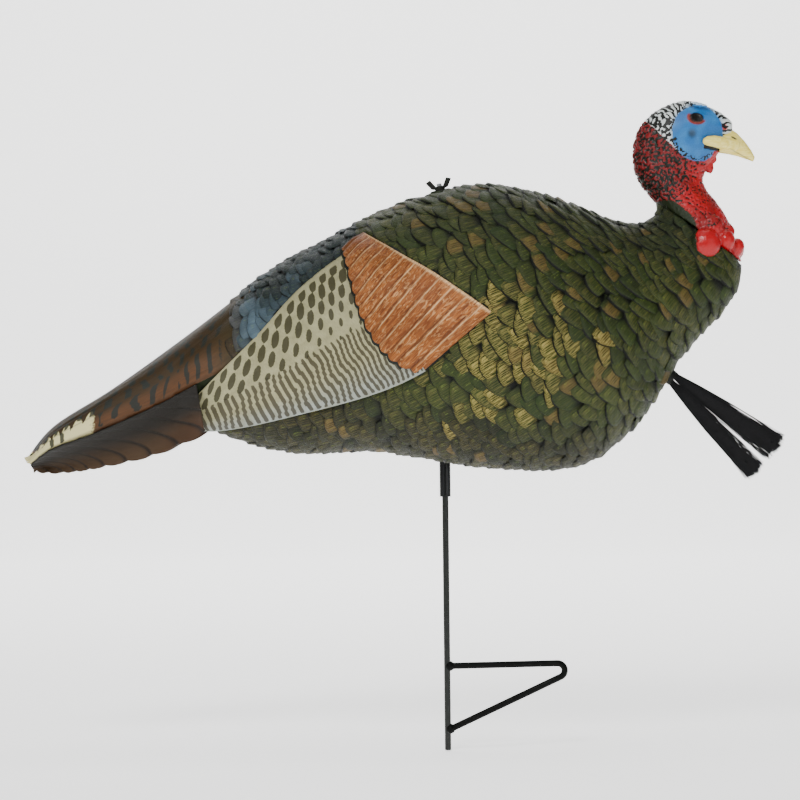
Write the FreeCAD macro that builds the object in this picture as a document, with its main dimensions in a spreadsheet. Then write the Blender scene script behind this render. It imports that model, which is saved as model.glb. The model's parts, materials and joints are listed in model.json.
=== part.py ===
import FreeCAD, Part
import math
import os

import Sketcher
from FreeCAD import Placement, Rotation, Vector

# A turkey decoy on a ground stake, in millimetres. The origin is the middle of the stake's lower end.
# +Z runs up the stake and +X points to the beak.

OUT_FOLDER = "parts"
THROUGH = 60.0  # longer than any wall is thick, for a cut that goes right through

# name: (value in mm or degrees, what it is)
SIZES = {
    "stake_dia": (6.35, "ground stake rod"),
    "stake_length": (535.0, "rod, tip to top end"),
    "stake_edge": (0.6, "chamfer on the rod's ends"),
    "loop_height": (84.0, "middle of the step bar at the rod"),
    "loop_foot": (19.6, "middle of the brace where it would meet the stake axis"),
    "loop_rise": (0.8, "slope of the step bar, degrees"),
    "loop_brace": (24.8, "slope of the brace, degrees"),
    "loop_bend": (7.1, "bend radius on the wire's middle"),
    "weld_size": (4.9, "radius of a weld bead"),
    "button_head": (4.0, "thickness of the nylon button on the rod"),
    "button_stem_dia": (3.0, "button stem"),
    "button_stem": (8.0, "length of the stem"),
    "run_gap": (0.05, "radial clearance of a running fit"),
    "tube_bottom": (253.5, "lower end of the support tube"),
    "tube_dia": (11.1, "support tube outside"),
    "tube_bore": (6.5, "support tube inside"),
    "tube_slit": (1.4, "open seam of the rolled tube"),
    "plug_depth": (8.0, "plug inside the tube"),
    "plug_head_dia": (15.0, "plug head"),
    "plug_neck_dia": (12.0, "leaning neck on the plug head"),
    "plug_neck_foot": (10.4, "foot of that neck, below the washer seat"),
    "plug_squeeze": (0.02, "radial clearance of the plug in the tube"),
    "plug_head": (3.0, "plug head thickness"),
    "back_lean": (11.0, "lean of the back bolt, degrees"),
    "bolt_x": (-1.4, "back bolt at the washer seat"),
    "bolt_z": (558.6, "height of the washer seat"),
    "bolt_dia": (5.0, "back bolt"),
    "bolt_above": (8.0, "bolt above the washer seat"),
    "bolt_grip": (4.4, "bolt inside the plug"),
    "boss_dia": (26.0, "moulded pad around the back bolt"),
    "boss_depth": (5.0, "thickness of the pad under the washer"),
    "washer_dia": (20.0, "washer under the wing nut"),
    "washer_thick": (1.2, "washer thickness"),
    "plate_dia": (24.0, "backing washer inside the shell"),
    "plate_thick": (1.6, "backing washer thickness"),
    "nut_hub_dia": (10.0, "wing nut hub"),
    "nut_hub": (4.0, "wing nut hub height"),
    "nut_wing_in": (3.6, "inner foot of a wing"),
    "nut_wing_out": (8.4, "outer foot of a wing"),
    "nut_tip_in": (8.2, "inner tip of a wing"),
    "nut_tip_out": (13.0, "outer tip of a wing"),
    "nut_tip_high": (11.6, "height of the inner tip"),
    "nut_tip_low": (9.6, "height of the outer tip"),
    "nut_wing_thick": (3.0, "wing thickness"),
    "thread_pitch": (0.8, "pitch of the back bolt"),
    "skin": (3.0, "wall of the mouldings"),
    "belly_pad_dia": (28.0, "moulded pad around the tube"),
    "belly_pad_top": (302.0, "top of the pad inside the shell"),
    "bush_dia": (17.0, "belly bush outside"),
    "bush_flange_dia": (24.0, "belly bush flange"),
    "bush_flange": (2.5, "flange thickness"),
    "bush_low": (291.5, "lower face of the belly bush"),
    "seam_wall": (4.0, "end wall at the neck seam"),
    "seam_gap": (0.3, "gap between head and neck"),
    "collar_dia": (46.0, "neck collar outside"),
    "collar_flange_dia": (53.0, "neck collar flange"),
    "collar_flange": (3.0, "neck collar flange thickness"),
    "collar_depth": (16.0, "neck collar length"),
    "neck_plug_dia": (40.0, "plug under the head"),
    "neck_plug_bore": (33.0, "hollow of the plug"),
    "neck_plug_depth": (15.0, "plug below the seam"),
    "neck_plug_flange_dia": (46.0, "flange inside the head"),
    "neck_plug_flange": (3.0, "thickness of that flange"),
    "flange_room": (2.0, "room above that flange"),
    "head_clear": (0.4, "clearance of the wattles over the neck"),
    "eye_dia": (13.6, "acrylic eye"),
    "eye_x": (253.3, "eye centre"),
    "eye_z": (627.5, "eye centre"),
    "eye_apart": (31.0, "distance between the eye centres"),
    "eye_gap": (0.1, "clearance of the eye in its socket"),
    "beard_x": (224.0, "beard on the breast skin"),
    "beard_z": (373.0, "beard on the breast skin"),
    "beard_dip": (42.0, "beard below the horizontal, degrees"),
    "beard_pad_dia": (24.0, "moulded pad around the beard"),
    "beard_pad_depth": (12.0, "pad thickness inside the skin"),
    "grommet_dia": (16.0, "beard grommet outside"),
    "grommet_flange_dia": (21.0, "grommet flange"),
    "grommet_flange": (2.0, "grommet flange thickness"),
    "beard_plug_dia": (10.0, "beard plug"),
    "beard_plug_depth": (17.0, "plug inside the grommet"),
    "ferrule_dia": (15.0, "ferrule that holds the bristles"),
    "ferrule_length": (7.0, "ferrule outside the skin"),
    "ferrule_bore": (13.4, "ferrule hollow"),
    "ferrule_floor": (1.5, "thickness of the ferrule's floor"),
    "tuft_lift": (0.3, "gap between the tufts and the ferrule's floor"),
    "tuft_apart": (6.0, "distance between the middles of the tufts at their roots"),
    "tuft_length": (129.0, "bristles, from the ferrule's floor"),
    "tuft_spread": (10.9, "angle between the two tufts, degrees"),
}

# Stations of the moulding, from tail to neck. Each is an upper point and a lower point on the middle
# plane (x, z), then three half widths, at 0.8, 0.5 and 0.2 of the way up from lower to upper.
BODY_STATIONS = {
    "tail_tip": ((-413, 302), (-411, 291), (24, 22, 14)),
    "tail_end": ((-385, 327), (-393, 286), (42, 30, 16)),
    "tail_mid": ((-334, 360), (-339, 290), (44, 30, 18)),
    "tail_root": ((-279, 400), (-280, 303), (44, 36, 20)),
    "vent": ((-233, 432), (-234, 321), (54, 50, 30)),
    "rump": ((-188, 471), (-195, 311), (62, 76, 56)),
    "loin": ((-132, 504), (-137, 300), (78, 98, 76)),
    "saddle": ((-72, 534), (-77, 302), (90, 112, 88)),
    "back": ((-12, 556), (-15, 293), (96, 118, 94)),
    "mantle": ((48, 564), (45, 284), (96, 120, 96)),
    "shoulder": ((108, 552), (105, 281), (88, 114, 90)),
    "crop": ((158, 533), (157, 296), (70, 98, 78)),
    "keel": ((186, 526), (206, 345), (52, 78, 64)),
    "beard_line": ((196, 525), (224, 373), (44, 70, 58)),
    "breast": ((204, 527), (253, 411), (37, 58, 50)),
    "throat": ((213, 536), (285, 445), (28, 42, 40)),
    "neck_seam": ((213, 545), (299, 483), (22, 30, 29)),
}
FIRST_HOLLOW = "tail_root"
HEIGHTS = (0.2, 0.5, 0.8)  # where the half widths of a station are measured, lowest first

# Stations of the head, from the seam over the nape to the crown: back point, front point, half widths
# towards the back, in the middle and towards the front.
HEAD_STATIONS = {
    "neck_seam": ((213, 545), (299, 483), (22, 30, 29)),
    "neck_low": ((207, 552), (291, 513), (23, 28, 25)),
    "neck_mid": ((199, 562), (279, 540), (23, 26, 22)),
    "neck_high": ((193, 574), (266, 555), (23, 24, 19)),
    "jaw": ((191, 588), (262, 568), (23, 24, 18)),
    "cheek": ((192, 603), (268, 581), (23, 25, 18)),
    "ear": ((197, 617), (277, 592), (22, 25, 16)),
    "temple": ((206, 629), (286, 601), (20, 24, 14)),
    "brow": ((222, 640), (291, 612), (17, 21, 12)),
    "forehead": ((240, 645), (292, 621), (12, 16, 9)),
    "crown": ((259, 643), (287, 629), (6, 9, 5)),
}
# Fleshy lobes of the throat: (x, y, z), radius. Those off the middle plane come in pairs.
WATTLES = [
    ((264, 27, 503), 14.0),
    ((283, 17, 506), 11.0),
    ((294, 8, 499), 11.0),
    ((276, 28, 520), 8.0),
]
# The beak from base to point: (x, z) of each oval's middle, then its half height and half width.
BEAK = [((272, 605), (12.5, 10.5)), ((294.25, 597.75), (9.0, 7.1)), ((312.5, 586.5), (2.2, 1.8))]
# The dewlap under the chin, a flat flap: (x, z), radius, half thickness.
DEWLAP = ((267, 581), 8.0, 2.5)
# A tuft from root to tip: share of its length, then its half sizes across the fan and sideways.
TUFT = [(0.0, 2.5, 4.6), (0.12, 3.2, 5.2), (0.55, 6.5, 6.2), (1.0, 11.5, 5.0)]


def start_document():
    doc = FreeCAD.newDocument("turkey_decoy")
    sheet = doc.addObject("Spreadsheet::Sheet", "dimensions")
    rows = {name: value for name, (value, _) in SIZES.items()}
    for kind, stations in (("body", BODY_STATIONS), ("head", HEAD_STATIONS)):
        for name, (upper, lower, halves) in stations.items():
            labels = ("upper_x", "upper_z", "lower_x", "lower_z", "half_upper", "half_middle", "half_lower")
            for label, value in zip(labels, (*upper, *lower, *halves)):
                rows[f"{kind}_{name}_{label}"] = value
    for row, (name, value) in enumerate(rows.items(), start=1):
        sheet.set(f"A{row}", name)
        sheet.set(f"B{row}", str(value))
        sheet.setAlias(f"B{row}", name)
    doc.recompute()
    return doc, sheet


doc, sheet = start_document()


def size(name):
    return float(sheet.get(name))


class Dim:
    """A number together with the sheet formula it comes from."""

    def __init__(self, value, formula):
        self.value = float(value)
        self.formula = formula

    def join(self, other, sign, value):
        other = other.formula if isinstance(other, Dim) else str(other)
        return Dim(value, f"({self.formula} {sign} {other})")

    def __add__(self, other):
        return self.join(other, "+", self.value + plain(other))

    def __sub__(self, other):
        return self.join(other, "-", self.value - plain(other))

    def __mul__(self, other):
        return self.join(other, "*", self.value * plain(other))

    def __truediv__(self, other):
        return self.join(other, "/", self.value / plain(other))

    def __neg__(self):
        return Dim(-self.value, f"(0 - {self.formula})")


def plain(amount):
    return amount.value if isinstance(amount, Dim) else float(amount)


class Names:
    """Reads a cell by its name: d.stake_dia."""

    def __getattr__(self, name):
        return Dim(size(name), f"<<dimensions>>.{name}")


d = Names()


def bind(item, **amounts):
    """Sets properties of a document object from dimensions; __ in a keyword stands for a dot."""
    for path, amount in amounts.items():
        item.setExpression(path.replace("__", "."), amount.formula)
    return item


def named(item, label):
    item.Label = label
    return item


# Helpers that draw bound sketches


def origin_plane(body, role):
    return next(f for f in body.Origin.OriginFeatures if f.Role == role)


def new_sketch(body, role, name):
    sketch = body.newObject("Sketcher::SketchObject", name)
    sketch.AttachmentSupport = [(origin_plane(body, role), "")]
    sketch.MapMode = "FlatFace"
    return sketch


def polygon(sketch, corners):
    """A closed outline; each corner is held to the sketch's axes by two dimensions."""
    spots = [Vector(plain(x), plain(y), 0) for x, y in corners]
    count = len(spots)
    for i in range(count):
        sketch.addGeometry(Part.LineSegment(spots[i], spots[(i + 1) % count]), False)
    for i in range(count):
        sketch.addConstraint(Sketcher.Constraint("Coincident", i, 2, (i + 1) % count, 1))
    for i, corner in enumerate(corners):
        for kind, axis, amount in (("DistanceX", -2, corner[0]), ("DistanceY", -1, corner[1])):
            number = plain(amount)
            if abs(number) < 1e-9:
                sketch.addConstraint(Sketcher.Constraint("PointOnObject", i, 1, axis))
                continue
            ends = (-1, 1, i, 1) if number > 0 else (i, 1, -1, 1)
            index = sketch.addConstraint(Sketcher.Constraint(kind, *ends, abs(number)))
            if isinstance(amount, Dim):
                held = amount if number > 0 else -amount
                sketch.setExpression(f"Constraints[{index}]", held.formula)
    return sketch


def circle(sketch, radius):
    sketch.addGeometry(Part.Circle(Vector(0, 0, 0), Vector(0, 0, 1), radius.value), False)
    sketch.addConstraint(Sketcher.Constraint("Coincident", 0, 3, -1, 1))
    index = sketch.addConstraint(Sketcher.Constraint("Radius", 0, radius.value))
    sketch.setExpression(f"Constraints[{index}]", radius.formula)
    return sketch


def turned(label, outline):
    """A turned piece: outline is (radius, height) corners, revolved about the piece's own Z axis."""
    body = named(doc.addObject("PartDesign::Body", label), label)
    sketch = polygon(new_sketch(body, "XZ_Plane", f"{label}_outline"), outline)
    turn = body.newObject("PartDesign::Revolution", f"{label}_turn")
    turn.Profile = sketch
    turn.ReferenceAxis = (sketch, ["V_Axis"])
    turn.Angle = 360.0
    doc.recompute()
    return body


def lean_placement(x, z, degrees):
    """A piece whose own Z axis leans by degrees towards +X, standing at (x, 0, z)."""
    return Placement(Vector(x, 0, z), Rotation(Vector(0, 1, 0), degrees))


def along(placement, distance):
    """The same placement, moved by distance along its own Z axis."""
    return placement.multiply(Placement(Vector(0, 0, distance), Rotation()))


def solid_of(label, shape, placement=None):
    item = named(doc.addObject("Part::Feature", label), label)
    item.Shape = shape
    if placement:
        item.Placement = placement
    return item


# Stake


def make_stake_rod():
    body = named(doc.addObject("PartDesign::Body", "stake_rod"), "stake_rod")
    rod = body.newObject("PartDesign::Pad", "rod")
    rod.Profile = circle(new_sketch(body, "XY_Plane", "rod_section"), d.stake_dia / 2)
    bind(rod, Length=d.stake_length)
    doc.recompute()
    stem_hole = body.newObject("PartDesign::Pocket", "stem_hole")
    section = new_sketch(body, "XY_Plane", "stem_hole_section")
    bind(section, AttachmentOffset__Base__z=d.stake_length)
    stem_hole.Profile = circle(section, d.button_stem_dia / 2 + d.run_gap)
    bind(stem_hole, Length=d.button_stem + 1)
    doc.recompute()
    edge = body.newObject("PartDesign::Chamfer", "rod_ends")
    outer = plain(d.stake_dia / 2)
    rims = [
        f"Edge{i + 1}"
        for i, e in enumerate(stem_hole.Shape.Edges)
        if hasattr(e.Curve, "Radius") and abs(e.Curve.Radius - outer) < 1e-3 and len(e.Vertexes) == 1
    ]
    edge.Base = (stem_hole, rims)
    bind(edge, Size=d.stake_edge)
    body.Tip = edge
    doc.recompute()
    return body


def loop_geometry():
    """Corner, arc centre and tangent points of the loop's middle line, as (x, z)."""
    rise, brace = math.radians(size("loop_rise")), math.radians(size("loop_brace"))
    corner_x = (size("loop_height") - size("loop_foot")) / (math.tan(brace) - math.tan(rise))
    corner_z = size("loop_height") + corner_x * math.tan(rise)
    half = (brace - rise) / 2
    bend = size("loop_bend")
    tangent = bend / math.tan(half)
    reach = bend / math.sin(half)
    middle = (rise + brace) / 2
    centre = (corner_x - reach * math.cos(middle), corner_z - reach * math.sin(middle))
    top = (corner_x - tangent * math.cos(rise), corner_z - tangent * math.sin(rise))
    low = (corner_x - tangent * math.cos(brace), corner_z - tangent * math.sin(brace))
    return top, low, centre


def make_foot_loop():
    top, low, centre = loop_geometry()
    rise, brace = size("loop_rise"), size("loop_brace")
    bars = []
    for name, start_z, end, slope in (
        ("step_bar", size("loop_height"), top, rise),
        ("brace_bar", size("loop_foot"), low, brace),
    ):
        bar = doc.addObject("Part::Cylinder", name)
        bind(bar, Radius=d.stake_dia / 2)
        bar.Height = math.hypot(end[0], end[1] - start_z)
        bar.Placement = lean_placement(0, start_z, 90 - slope)
        bars.append(bar)
    bend = doc.addObject("Part::Torus", "loop_corner")
    bind(bend, Radius1=d.loop_bend, Radius2=d.stake_dia / 2)
    bind(bend, Angle3=-(d.loop_brace - d.loop_rise) + 180)
    start = brace - 90
    flat = Rotation(Vector(1, 0, 0), 90)
    turn = Rotation(Vector(0, -1, 0), start)
    bend.Placement = Placement(Vector(centre[0], 0, centre[1]), turn.multiply(flat))
    wire = doc.addObject("Part::MultiFuse", "loop_wire")
    wire.Shapes = [*bars, bend]
    rod = doc.addObject("Part::Cylinder", "loop_cope")
    bind(rod, Radius=d.stake_dia / 2, Height=d.loop_height * 2)
    loop = named(doc.addObject("Part::Cut", "foot_loop"), "foot_loop")
    loop.Base = wire
    loop.Tool = rod
    doc.recompute()
    return loop


def make_weld(label, loop, height):
    """A bead in the corner between a bar and the rod, cut to both."""
    bead = doc.addObject("Part::Sphere", f"{label}_bead")
    bind(bead, Radius=d.weld_size, Placement__Base__x=d.stake_dia / 4 + 1, Placement__Base__z=height)
    rod = doc.addObject("Part::Cylinder", f"{label}_cope")
    bind(rod, Radius=d.stake_dia / 2, Height=d.loop_height * 2)
    metal = doc.addObject("Part::MultiFuse", f"{label}_metal")
    metal.Shapes = [loop, rod]
    weld = named(doc.addObject("Part::Cut", label), label)
    weld.Base = bead
    weld.Tool = metal
    doc.recompute()
    return weld


def make_thrust_button():
    stem = d.button_stem_dia / 2
    rim = d.stake_dia / 2
    body = turned(
        "thrust_button",
        [(0, 0), (stem, 0), (stem, d.button_stem), (rim, d.button_stem),
         (rim, d.button_stem + d.button_head), (0, d.button_stem + d.button_head)],
    )
    bind(body, Placement__Base__z=d.stake_length - d.button_stem)
    return body


# Post and back bolt

def make_support_tube():
    length = d.stake_length + d.button_head + d.plug_depth - d.tube_bottom
    body = turned(
        "support_tube",
        [(d.tube_bore / 2, 0), (d.tube_dia / 2, 0), (d.tube_dia / 2, length), (d.tube_bore / 2, length)],
    )
    slit = body.newObject("PartDesign::Pocket", "seam_slit")
    half = d.tube_slit / 2
    outline = new_sketch(body, "XZ_Plane", "slit_outline")
    slit.Profile = polygon(outline, [(-d.tube_slit / 2, 0), (half, 0), (half, length),
                                     (-d.tube_slit / 2, length)])
    bind(slit, Length=d.tube_dia)
    slit.Reversed = True
    bind(body, Placement__Base__z=d.tube_bottom)
    body.Tip = slit
    doc.recompute()
    return body


def bolt_placement(distance=0.0):
    """On the back bolt's axis, distance above the washer seat."""
    return along(lean_placement(size("bolt_x"), size("bolt_z"), -size("back_lean")), distance)


def make_tube_plug():
    """Closes the tube and carries the leaning bolt."""
    rim = d.tube_bore / 2 - d.plug_squeeze
    spigot = turned(
        "plug_spigot",
        [(0, 0), (rim, 0), (rim, d.plug_depth), (d.plug_head_dia / 2, d.plug_depth),
         (d.plug_head_dia / 2, d.plug_depth + d.plug_head), (0, d.plug_depth + d.plug_head)],
    )
    bind(spigot, Placement__Base__z=d.stake_length + d.button_head)
    neck = doc.addObject("Part::Cylinder", "plug_neck")
    bind(neck, Radius=d.plug_neck_dia / 2, Height=d.plug_neck_foot - d.boss_depth - d.plate_thick)
    neck.Placement = bolt_placement(-size("plug_neck_foot"))
    both = doc.addObject("Part::MultiFuse", "plug_blank")
    both.Shapes = [spigot, neck]
    hole = doc.addObject("Part::Cylinder", "plug_bolt_hole")
    bind(hole, Radius=d.bolt_dia / 2, Height=d.bolt_grip)
    hole.Placement = bolt_placement(-(size("boss_depth") + size("plate_thick") + size("bolt_grip")))
    plug = named(doc.addObject("Part::Cut", "tube_plug"), "tube_plug")
    plug.Base = both
    plug.Tool = hole
    doc.recompute()
    return plug


def make_back_bolt():
    """The threaded stud in the tube plug, drawn at its outside diameter."""
    length = d.bolt_grip + d.boss_depth + d.plate_thick + d.bolt_above
    rim = d.bolt_dia / 2
    body = turned("back_bolt", [(0, 0), (rim, 0), (rim, length - 0.6), (rim - 0.6, length), (0, length)])
    body.Placement = bolt_placement(-(size("boss_depth") + size("plate_thick") + size("bolt_grip")))
    return body


def ring(label, inner, outer, height):
    return turned(label, [(inner, 0), (outer, 0), (outer, height), (inner, height)])


def flanged(label, bore, rim, flange, step, top):
    """A bush of radius rim up to height step, then its flange up to top."""
    return turned(label, [(bore, 0), (rim, 0), (rim, step), (flange, step), (flange, top), (bore, top)])


def make_backing_washer():
    body = ring("backing_washer", d.bolt_dia / 2 + d.run_gap, d.plate_dia / 2, d.plate_thick)
    body.Placement = bolt_placement(-(size("boss_depth") + size("plate_thick")))
    return body


def make_back_washer():
    body = ring("back_washer", d.bolt_dia / 2 + d.run_gap, d.washer_dia / 2, d.washer_thick)
    body.Placement = bolt_placement()
    return body


def make_wing_nut():
    hub = d.nut_hub_dia / 2
    bore = d.bolt_dia / 2 + d.run_gap
    body = turned(
        "wing_nut",
        [(bore, 0), (hub, 0), (hub, d.nut_hub - 1), (hub - 1, d.nut_hub), (bore, d.nut_hub)],
    )
    wing = body.newObject("PartDesign::Pad", "wing")
    outline = new_sketch(body, "XZ_Plane", "wing_outline")
    wing.Profile = polygon(
        outline,
        [(d.nut_wing_in, 0.8), (d.nut_wing_out, 2.4), (d.nut_tip_out, d.nut_tip_low),
         (d.nut_tip_in, d.nut_tip_high), (d.nut_wing_in, d.nut_hub)],
    )
    wing.Midplane = True
    bind(wing, Length=d.nut_wing_thick)
    doc.recompute()
    pair = body.newObject("PartDesign::Mirrored", "wings")
    pair.Originals = [wing]
    pair.MirrorPlane = (origin_plane(body, "YZ_Plane"), [""])
    body.Tip = pair
    body.Placement = bolt_placement(size("washer_thick"))
    doc.recompute()
    return body


# The moulded body


def station_curve(kind, name, grow=0.0, shift=None):
    """The closed section at a station, grown outwards by grow and moved by shift."""
    pick = lambda label: size(f"{kind}_{name}_{label}")
    upper = Vector(pick("upper_x"), 0, pick("upper_z"))
    lower = Vector(pick("lower_x"), 0, pick("lower_z"))
    up = (upper - lower).normalize()
    upper += up * grow
    lower -= up * grow
    halves = [pick(f"half_{part}") + grow for part in ("lower", "middle", "upper")]
    side = [lower + (upper - lower) * share + Vector(0, half, 0) for share, half in zip(HEIGHTS, halves)]
    other = [Vector(p.x, -p.y, p.z) for p in reversed(side)]
    points = [p + (shift or Vector()) for p in (lower, *side, upper, *other)]
    curve = Part.BSplineCurve()
    curve.interpolate(Points=points, PeriodicFlag=True, Parameters=list(range(len(points) + 1)))
    return curve


def loft(curves):
    """A closed solid over section curves that all have the same number of poles."""
    columns = list(zip(*(curve.getPoles() for curve in curves)))
    middles = [sum(curve.getPoles(), Vector()) / len(columns) for curve in curves]
    steps = [(b - a).Length for a, b in zip(middles, middles[1:])]
    stops = [sum(steps[:i]) for i in range(len(curves))]
    rails = []
    for column in columns:
        rail = Part.BSplineCurve()
        rail.interpolate(Points=list(column), Parameters=stops)
        rails.append(rail)
    first, rail = curves[0], rails[0]
    surface = Part.BSplineSurface()
    surface.buildFromPolesMultsKnots(
        [r.getPoles() for r in rails], first.getMultiplicities(), rail.getMultiplicities(),
        first.getKnots(), rail.getKnots(), True, False, first.Degree, rail.Degree,
    )
    skin = surface.toShape()
    caps = [Part.Face(Part.Wire([edge])) for edge in skin.Edges if edge.isClosed()]
    solid = Part.Solid(Part.Shell([skin, *caps]))
    solid.fix(1e-5, 1e-5, 1e-5)
    if solid.Volume < 0:
        solid.reverse()
    return solid


def oval_curve(placement, half_x, half_y):
    angles = [math.radians(45 * i) for i in range(8)]
    points = [placement.multVec(Vector(half_x * math.cos(t), half_y * math.sin(t), 0)) for t in angles]
    curve = Part.BSplineCurve()
    curve.interpolate(Points=points, PeriodicFlag=True, Parameters=list(range(9)))
    return curve


def seam_placement(distance=0.0):
    """On the neck's axis, distance above the seam, with the axis as its own Z."""
    upper = BODY_STATIONS["neck_seam"][0]
    lower = BODY_STATIONS["neck_seam"][1]
    lean = math.degrees(math.atan2(upper[1] - lower[1], lower[0] - upper[0]))
    return along(lean_placement((upper[0] + lower[0]) / 2, (upper[1] + lower[1]) / 2, lean), distance)


def neck_axis():
    return seam_placement().Rotation.multVec(Vector(0, 0, 1))


def beard_placement(distance=0.0):
    """On the beard's axis, distance outside the breast skin."""
    return along(lean_placement(size("beard_x"), size("beard_z"), 90 + size("beard_dip")), distance)


def rod_at(placement, radius, length):
    cylinder = Part.makeCylinder(radius, length)
    cylinder.Placement = placement
    return cylinder


def body_outer(grow=0.0):
    return loft([station_curve("body", name, grow) for name in BODY_STATIONS])


def make_body_shell():
    outer = body_outer()
    skin = size("skin")
    names = list(BODY_STATIONS)
    hollow = [station_curve("body", n, -skin) for n in names[names.index(FIRST_HOLLOW):-1]]
    hollow.append(station_curve("body", "neck_seam", -skin, neck_axis() * -size("seam_wall")))
    shell = outer.cut(loft(hollow))
    back_pad = rod_at(bolt_placement(-size("boss_depth")), size("boss_dia") / 2, THROUGH)
    belly = Placement(Vector(0, 0, size("belly_pad_top") - THROUGH), Rotation())
    belly_pad = rod_at(belly, size("belly_pad_dia") / 2, THROUGH)
    beard_pad = rod_at(beard_placement(-size("beard_pad_depth")), size("beard_pad_dia") / 2, THROUGH)
    pads = Part.makeCompound([back_pad, belly_pad, beard_pad]).common(outer)
    shell = shell.fuse(pads)
    cuts = [
        rod_at(bolt_placement(), size("boss_dia") / 2, THROUGH),
        rod_at(bolt_placement(-THROUGH / 2), size("bolt_dia") / 2 + size("run_gap"), THROUGH),
        rod_at(belly, size("bush_dia") / 2, THROUGH),
        rod_at(beard_placement(-THROUGH / 2), size("grommet_dia") / 2, THROUGH),
        rod_at(seam_placement(-THROUGH / 2), size("collar_dia") / 2, THROUGH),
    ]
    for tool in cuts:
        shell = shell.cut(tool)
    return solid_of("body_shell", largest(shell))


def largest(shape):
    return max(shape.Solids, key=lambda s: s.Volume)


def make_belly_bush():
    bore = d.tube_dia / 2 + d.run_gap
    rim = d.bush_dia / 2
    flange = d.bush_flange_dia / 2
    step = d.belly_pad_top - d.bush_low
    top = d.belly_pad_top - d.bush_low + d.bush_flange
    body = flanged("belly_bush", bore, rim, flange, step, top)
    bind(body, Placement__Base__z=d.bush_low)
    return body


def make_neck_collar():
    bore = d.neck_plug_dia / 2 + d.run_gap
    rim = d.collar_dia / 2
    flange = d.collar_flange_dia / 2
    step = d.collar_depth - d.seam_wall
    body = turned(
        "neck_collar",
        [(bore, 0), (rim, 0), (rim, d.collar_depth - d.seam_wall - d.collar_flange),
         (flange, d.collar_depth - d.seam_wall - d.collar_flange), (flange, step), (rim, step),
         (rim, d.collar_depth), (bore, d.collar_depth)],
    )
    body.Placement = seam_placement(-size("collar_depth"))
    return body


# The head


def beak_solid():
    base, point = BEAK[0][0], BEAK[-1][0]
    lean = 90 + math.degrees(math.atan2(base[1] - point[1], point[0] - base[0]))
    return loft([oval_curve(lean_placement(*centre, lean), *halves) for centre, halves in BEAK])


def wattle_solids():
    lobes = []
    for (x, y, z), radius in WATTLES:
        for side in (-1, 1):
            lobe = Part.makeSphere(radius)
            lobe.Placement = Placement(Vector(x, side * y, z), Rotation())
            lobes.append(lobe)
    (x, z), radius, half = DEWLAP
    flap = Part.makeCylinder(radius, 2 * half)
    flap.Placement = Placement(Vector(x, half, z), Rotation(Vector(1, 0, 0), 90))
    return [*lobes, flap]


def eye_spot(side):
    return Vector(size("eye_x"), side * size("eye_apart") / 2, size("eye_z"))


def make_head_shell():
    lift = neck_axis() * size("seam_gap")
    names = list(HEAD_STATIONS)
    sections = [station_curve("head", names[0], 0, lift)]
    outer = loft(sections + [station_curve("head", n) for n in names[1:]])
    floor = neck_axis() * (size("seam_gap") + size("seam_wall"))
    skin = size("skin")
    cavity = [station_curve("head", names[0], -skin, floor)]
    cavity += [station_curve("head", n, -skin) for n in names[2:-2]]
    head = outer.cut(loft(cavity)).fuse([beak_solid(), *wattle_solids()])
    head = head.cut(body_outer(size("head_clear")))
    rise = size("seam_gap") + size("seam_wall")
    plug_radius = size("neck_plug_dia") / 2 + size("run_gap")
    plug_hole = rod_at(seam_placement(rise - THROUGH), plug_radius, THROUGH)
    flange_room = rod_at(seam_placement(rise), size("neck_plug_flange_dia") / 2 + size("seam_gap"),
                         size("neck_plug_flange") + size("flange_room"))
    head = head.cut(plug_hole).cut(flange_room)
    for side in (-1, 1):
        socket = Part.makeSphere(size("eye_dia") / 2 + size("eye_gap"))
        socket.Placement = Placement(eye_spot(side), Rotation())
        head = head.cut(socket)
    return solid_of("head_shell", largest(head))


def make_neck_plug():
    bore = d.neck_plug_bore / 2
    rim = d.neck_plug_dia / 2
    flange = d.neck_plug_flange_dia / 2
    step = d.neck_plug_depth + d.seam_gap + d.seam_wall
    top = d.neck_plug_depth + d.seam_gap + d.seam_wall + d.neck_plug_flange
    body = flanged("neck_plug", bore, rim, flange, step, top)
    body.Placement = seam_placement(-size("neck_plug_depth"))
    return body


def make_eye(label, side):
    eye = named(doc.addObject("Part::Sphere", label), label)
    bind(eye, Radius=d.eye_dia / 2)
    bind(eye, Placement__Base__x=d.eye_x, Placement__Base__z=d.eye_z)
    bind(eye, Placement__Base__y=d.eye_apart * side / 2)
    return eye


# The beard


def make_beard_grommet():
    bore = d.beard_plug_dia / 2 + d.run_gap
    rim = d.grommet_dia / 2
    flange = d.grommet_flange_dia / 2
    step = d.grommet_flange
    top = d.grommet_flange + d.beard_pad_depth
    outline = [(bore, 0), (flange, 0), (flange, step), (rim, step), (rim, top), (bore, top)]
    body = turned("beard_grommet", outline)
    body.Placement = beard_placement(-(size("beard_pad_depth") + size("grommet_flange")))
    return body


def make_beard_plug():
    plug = d.beard_plug_dia / 2
    rim = d.ferrule_dia / 2
    bore = d.ferrule_bore / 2
    floor = d.beard_plug_depth + d.ferrule_floor
    mouth = d.beard_plug_depth + d.ferrule_length
    body = turned(
        "beard_plug",
        [(0, 0), (plug, 0), (plug, d.beard_plug_depth), (rim, d.beard_plug_depth), (rim, mouth),
         (bore, mouth), (bore, floor), (0, floor)],
    )
    body.Placement = beard_placement(size("seam_gap") - size("beard_plug_depth"))
    return body


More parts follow.
